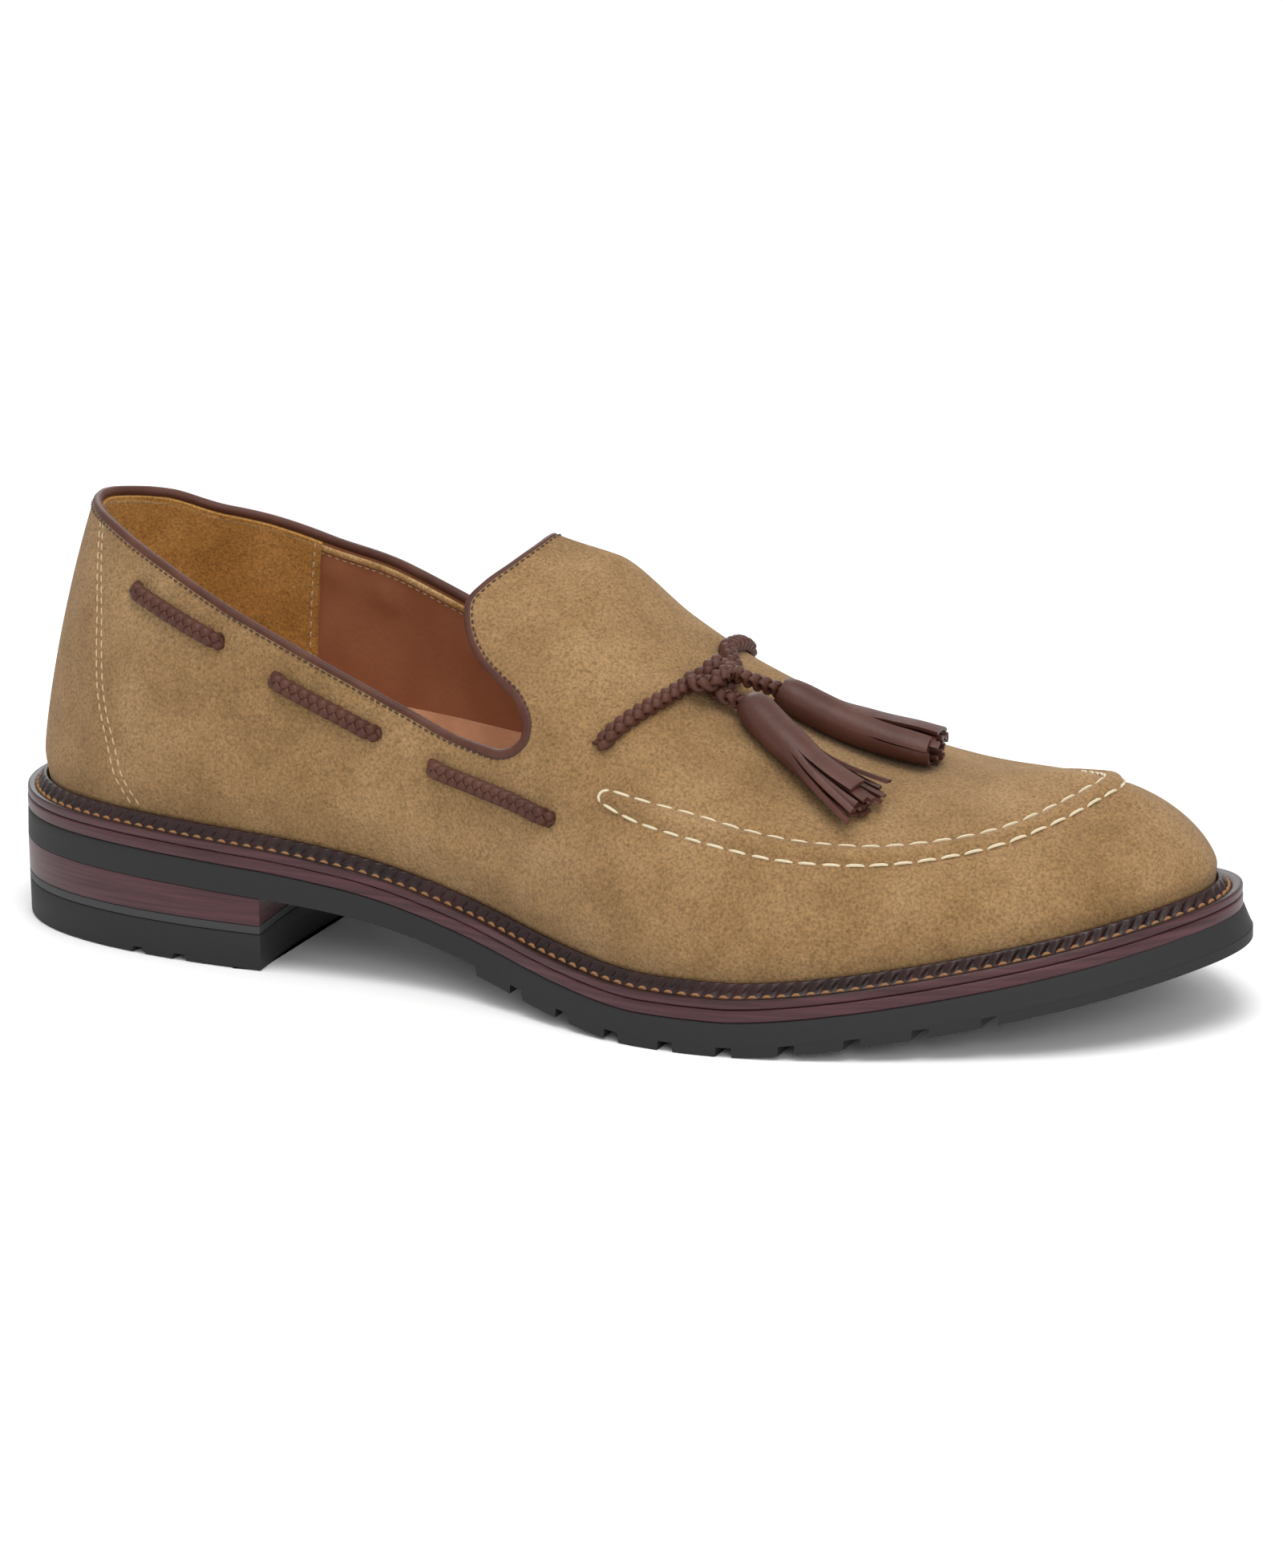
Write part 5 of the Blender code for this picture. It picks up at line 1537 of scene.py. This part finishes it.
# %% Storm welt
WELT_STEPS = 1500
feather = even_loop(FEATHER, WELT_STEPS)
along = np.roll(feather, -1, axis=0) - np.roll(feather, 1, axis=0)
along = along / np.linalg.norm(along, axis=1)[:, None]
outward = np.stack([along[:, 1], -along[:, 0]], axis=-1)
reveal = WELT_REVEAL * column(MARGINS, "reveal", feather[:, 0] / LENGTH)
run = np.concatenate([[0.0], np.cumsum(np.linalg.norm(np.diff(feather, axis=0), axis=1))])
GIMP = 3.3 * MM
GIMP_PRESS = 0.45 * MM
gimps = round(run[-1] / GIMP)
beat = 2 * np.pi * gimps * run / (run[-1] + np.linalg.norm(feather[0] - feather[-1]))
print("gimps round the welt:", gimps)

# %% [markdown]
# The section is given in millimetres: how far out from the foot of the suede, how far up
# from the rim's height, how much the crimp presses the row and how late its wave starts.

# %% Section of the welt
Section = namedtuple("Section", "out up gimp slant")
LIP = (
    Section(0.30, -1.6, 0.0, 0.0), Section(0.30, 1.2, 0.0, 0.0), Section(0.30, 2.3, 0.0, 0.0),
    Section(0.55, 2.72, 0.0, 0.0), Section(0.95, 2.80, 0.0, 0.0), Section(1.35, 2.55, 0.2, 0.0),
    Section(1.60, 2.05, 0.6, 0.5), Section(1.82, 1.55, 1.0, 1.2), Section(2.05, 1.05, 1.0, 1.9),
    Section(2.30, 0.60, 0.8, 2.6), Section(2.60, 0.15, 0.4, 3.2), Section(2.90, -0.35, 0.0, 0.0),
    Section(3.25, -0.42, 0.0, 0.0),
)
RIM_INSIDE = 3.0 * MM
# Rows of the rim: share of the way from its inside to its edge, and height in millimetres.
RIM_ROWS = ((0.25, -0.10), (0.45, 0.05), (0.75, 0.08), (0.90, -0.02), (0.97, -0.25), (1.00, -0.60),
            (1.00, -1.30), (0.97, -1.75), (0.90, -2.10))
ground = seat(feather[:, 0])
share = feather[:, 0] / LENGTH
rings = []
for row in LIP:
    swell_out = bulge(share, max(row.up, 0.0) * MM)
    lean = np.cos(beat + row.slant)
    press = row.gimp * GIMP_PRESS * np.sign(lean) * np.abs(lean) ** 0.6
    out = row.out * MM + swell_out + press
    plan = feather + outward * out[:, None]
    rings.append(np.column_stack([plan, ground + row.up * MM + press * 0.25]))
for far, height in RIM_ROWS:
    out = RIM_INSIDE + (reveal - RIM_INSIDE) * far
    plan = feather + outward * out[:, None]
    rim_z = seat(np.clip(plan[:, 0], 0.0, LENGTH))
    rings.append(np.column_stack([plan, rim_z + height * MM]))
for height in (-2.1, -0.1):
    rings.append(np.column_stack([feather - outward * WELT_TUCK, ground + height * MM]))
rings = np.stack(rings + rings[:1])
welt = piece("storm_welt", [(rings, [grid_faces(len(rings), WELT_STEPS, True)])], WELT_LEATHER,
             ("welt",), sharp=70.0)

# %% [markdown]
# The welt's cut outer edge is burnished like the midsole under it, while its top and lip stay
# dark. One mesh carries both finishes: a face takes the second one by its height and its way.

# %% Burnished edge of the welt
EDGE_DROP = 0.35 * MM


def paint_rim_edge(mesh):
    """Second finish where a face is lower than the rim's top and its normal's Z is small."""
    centres = np.empty(len(mesh.polygons) * 3)
    ways = np.empty(len(mesh.polygons) * 3)
    mesh.polygons.foreach_get("center", centres)
    mesh.polygons.foreach_get("normal", ways)
    centres = centres.reshape(-1, 3) + CENTRE
    low = centres[:, 2] < seat(np.clip(centres[:, 0], 0.0, LENGTH)) - EDGE_DROP
    sideways = np.abs(ways.reshape(-1, 3)[:, 2]) < 0.6
    mesh.polygons.foreach_set("material_index", (low & sideways).astype(np.int32))
    print("burnished faces:", int((low & sideways).sum()))


welt.data.materials.append(EDGE)
paint_rim_edge(welt.data)

# %% [markdown]
# The thread that holds welt and sole together lies in the groove between lip and rim. Its stitches
# stand upright, so their normals point up and not out from the suede.

# %% Stitches of the welt
groove = feather + outward * (RIM_INSIDE + 0.05 * MM)
seam = np.column_stack([groove, seat(groove[:, 0]) - 0.30 * MM])
upright = np.tile((0.0, 0.0, 1.0), (len(seam), 1))
row = stitch_row(seam, upright, 2.2 * MM, 3.3 * MM, 0.46 * MM, 0.3, True)
piece("welt_stitches", [row], WELT_THREAD, sharp=180.0)

# %% [markdown]
# Inside, the back of the heel is lined with honey suede so that the foot does not slip, the quarters
# with smooth reddish leather and the front with a paler one. The upper's own wall shows the reddish
# one, and the other two are thin shells over it. An upright row of stitches sews down each front
# edge of the heel lining.

# %% Linings
HEEL_LINING_THICK = 0.7 * MM
FRONT_LINING_THICK = 0.3 * MM
LINING_SINK = 0.25 * MM
HEEL_LINING_END = 0.296
FRONT_LINING = (Spot(0.300, 0.150), Spot(0.350, 0.190), Spot(0.425, 0.240), Spot(0.500, 0.280),
                Spot(0.600, 0.320))


def inner_shell(station, over, thick):
    """Sheet inside the wall: skin less normal times wall and thickness; also gives that face."""
    points = skin(station, over)
    normals = skin_normal(station, over)
    inner_face = points - normals * (WALL + thick)
    return sheet(points - normals * (WALL - LINING_SINK), inner_face), inner_face, normals


def heel_lining_grid():
    """Places of the heel lining, from its outer front edge round the heel to its inner one."""
    edge = set_back(OPENING, 2.0 * MM)
    count = QUARTER_STEPS
    lines = (edge[:count], np.concatenate([edge[:1] * (1, -1), edge[-count + 1:][::-1]]))
    stations = quarter_stations(count)
    keep = stations <= HEEL_LINING_END
    rise = np.linspace(0.10, 1.0, 40)
    grids = []
    for side, line in zip((-1, 1), lines):
        ups = (1 - np.abs(line[keep, 1]))[:, None] * rise
        station = stations[keep][:, None] + (line[keep, 0] - stations[keep])[:, None] * rise
        grids.append(np.stack([station, side * (1 - ups)], axis=-1))
    return np.concatenate([grids[0][::-1], grids[1][1:]])


grid = heel_lining_grid()
solid, inner_face, normals = inner_shell(grid[..., 0], grid[..., 1], HEEL_LINING_THICK)
piece("heel_lining", [solid], HEEL_SUEDE, sharp=60.0)
rows = [stitch_row(inner_face[row], -normals[row], 1.9 * MM, 2.6 * MM, 0.24 * MM) for row in (1, -2)]
shells = []
for side in (-1, 1):
    top = line_on_skin(FRONT_LINING, side, 60)
    ups = (1 - np.abs(top[:, 1]))[:, None] * np.linspace(0.12, 1.0, 16)
    station = np.broadcast_to(top[:, :1], ups.shape)
    shells.append(inner_shell(station, side * (1 - ups), FRONT_LINING_THICK)[0])
piece("front_lining", shells, SOCK, sharp=60.0)

# %% [markdown]
# Under the piping the lining's edge is finished with a narrow folded strip of pale suede, sewn along
# its lower side. It follows the same line as the piping, farther in and behind the wall.

# %% Folded strip under the piping
points, normals, into = opening_frames(OPENING)
strip = points + into * (2 * BINDING + 0.9 * MM) - normals * (WALL + 0.35 * MM)
fold = tube(strip, normals, 0.95 * MM, 0.42 * MM, 8, True)
piece("lining_strip", [fold], STRIP_SUEDE, sharp=180.0)
under_strip = set_back(OPENING, 2 * BINDING + 2.6 * MM)
ways = skin_normal(*under_strip.T)
behind = skin(*under_strip.T) - ways * WALL
rows.append(stitch_row(behind, -ways, 1.4 * MM, 2.1 * MM, 0.2 * MM, 0.3, True))
piece("lining_stitches", rows, TAN_THREAD)

# %% [markdown]
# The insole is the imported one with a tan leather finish, because only a strip of it shows at the
# bottom of the throat.

# %% Insole
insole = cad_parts["insole"]
insole.data.materials.clear()
insole.data.materials.append(SOCK)

# %% [markdown]
# Last, the boxes of the finished model and of the imported one are printed: looks may stand proud
# by a little, but never change a size.

# %% Sizes
VISUAL_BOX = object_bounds()
for word, box in (("packed", CAD_BOX), ("visual", VISUAL_BOX)):
    print(word, [[round(float(value), 4) for value in corner] for corner in box])
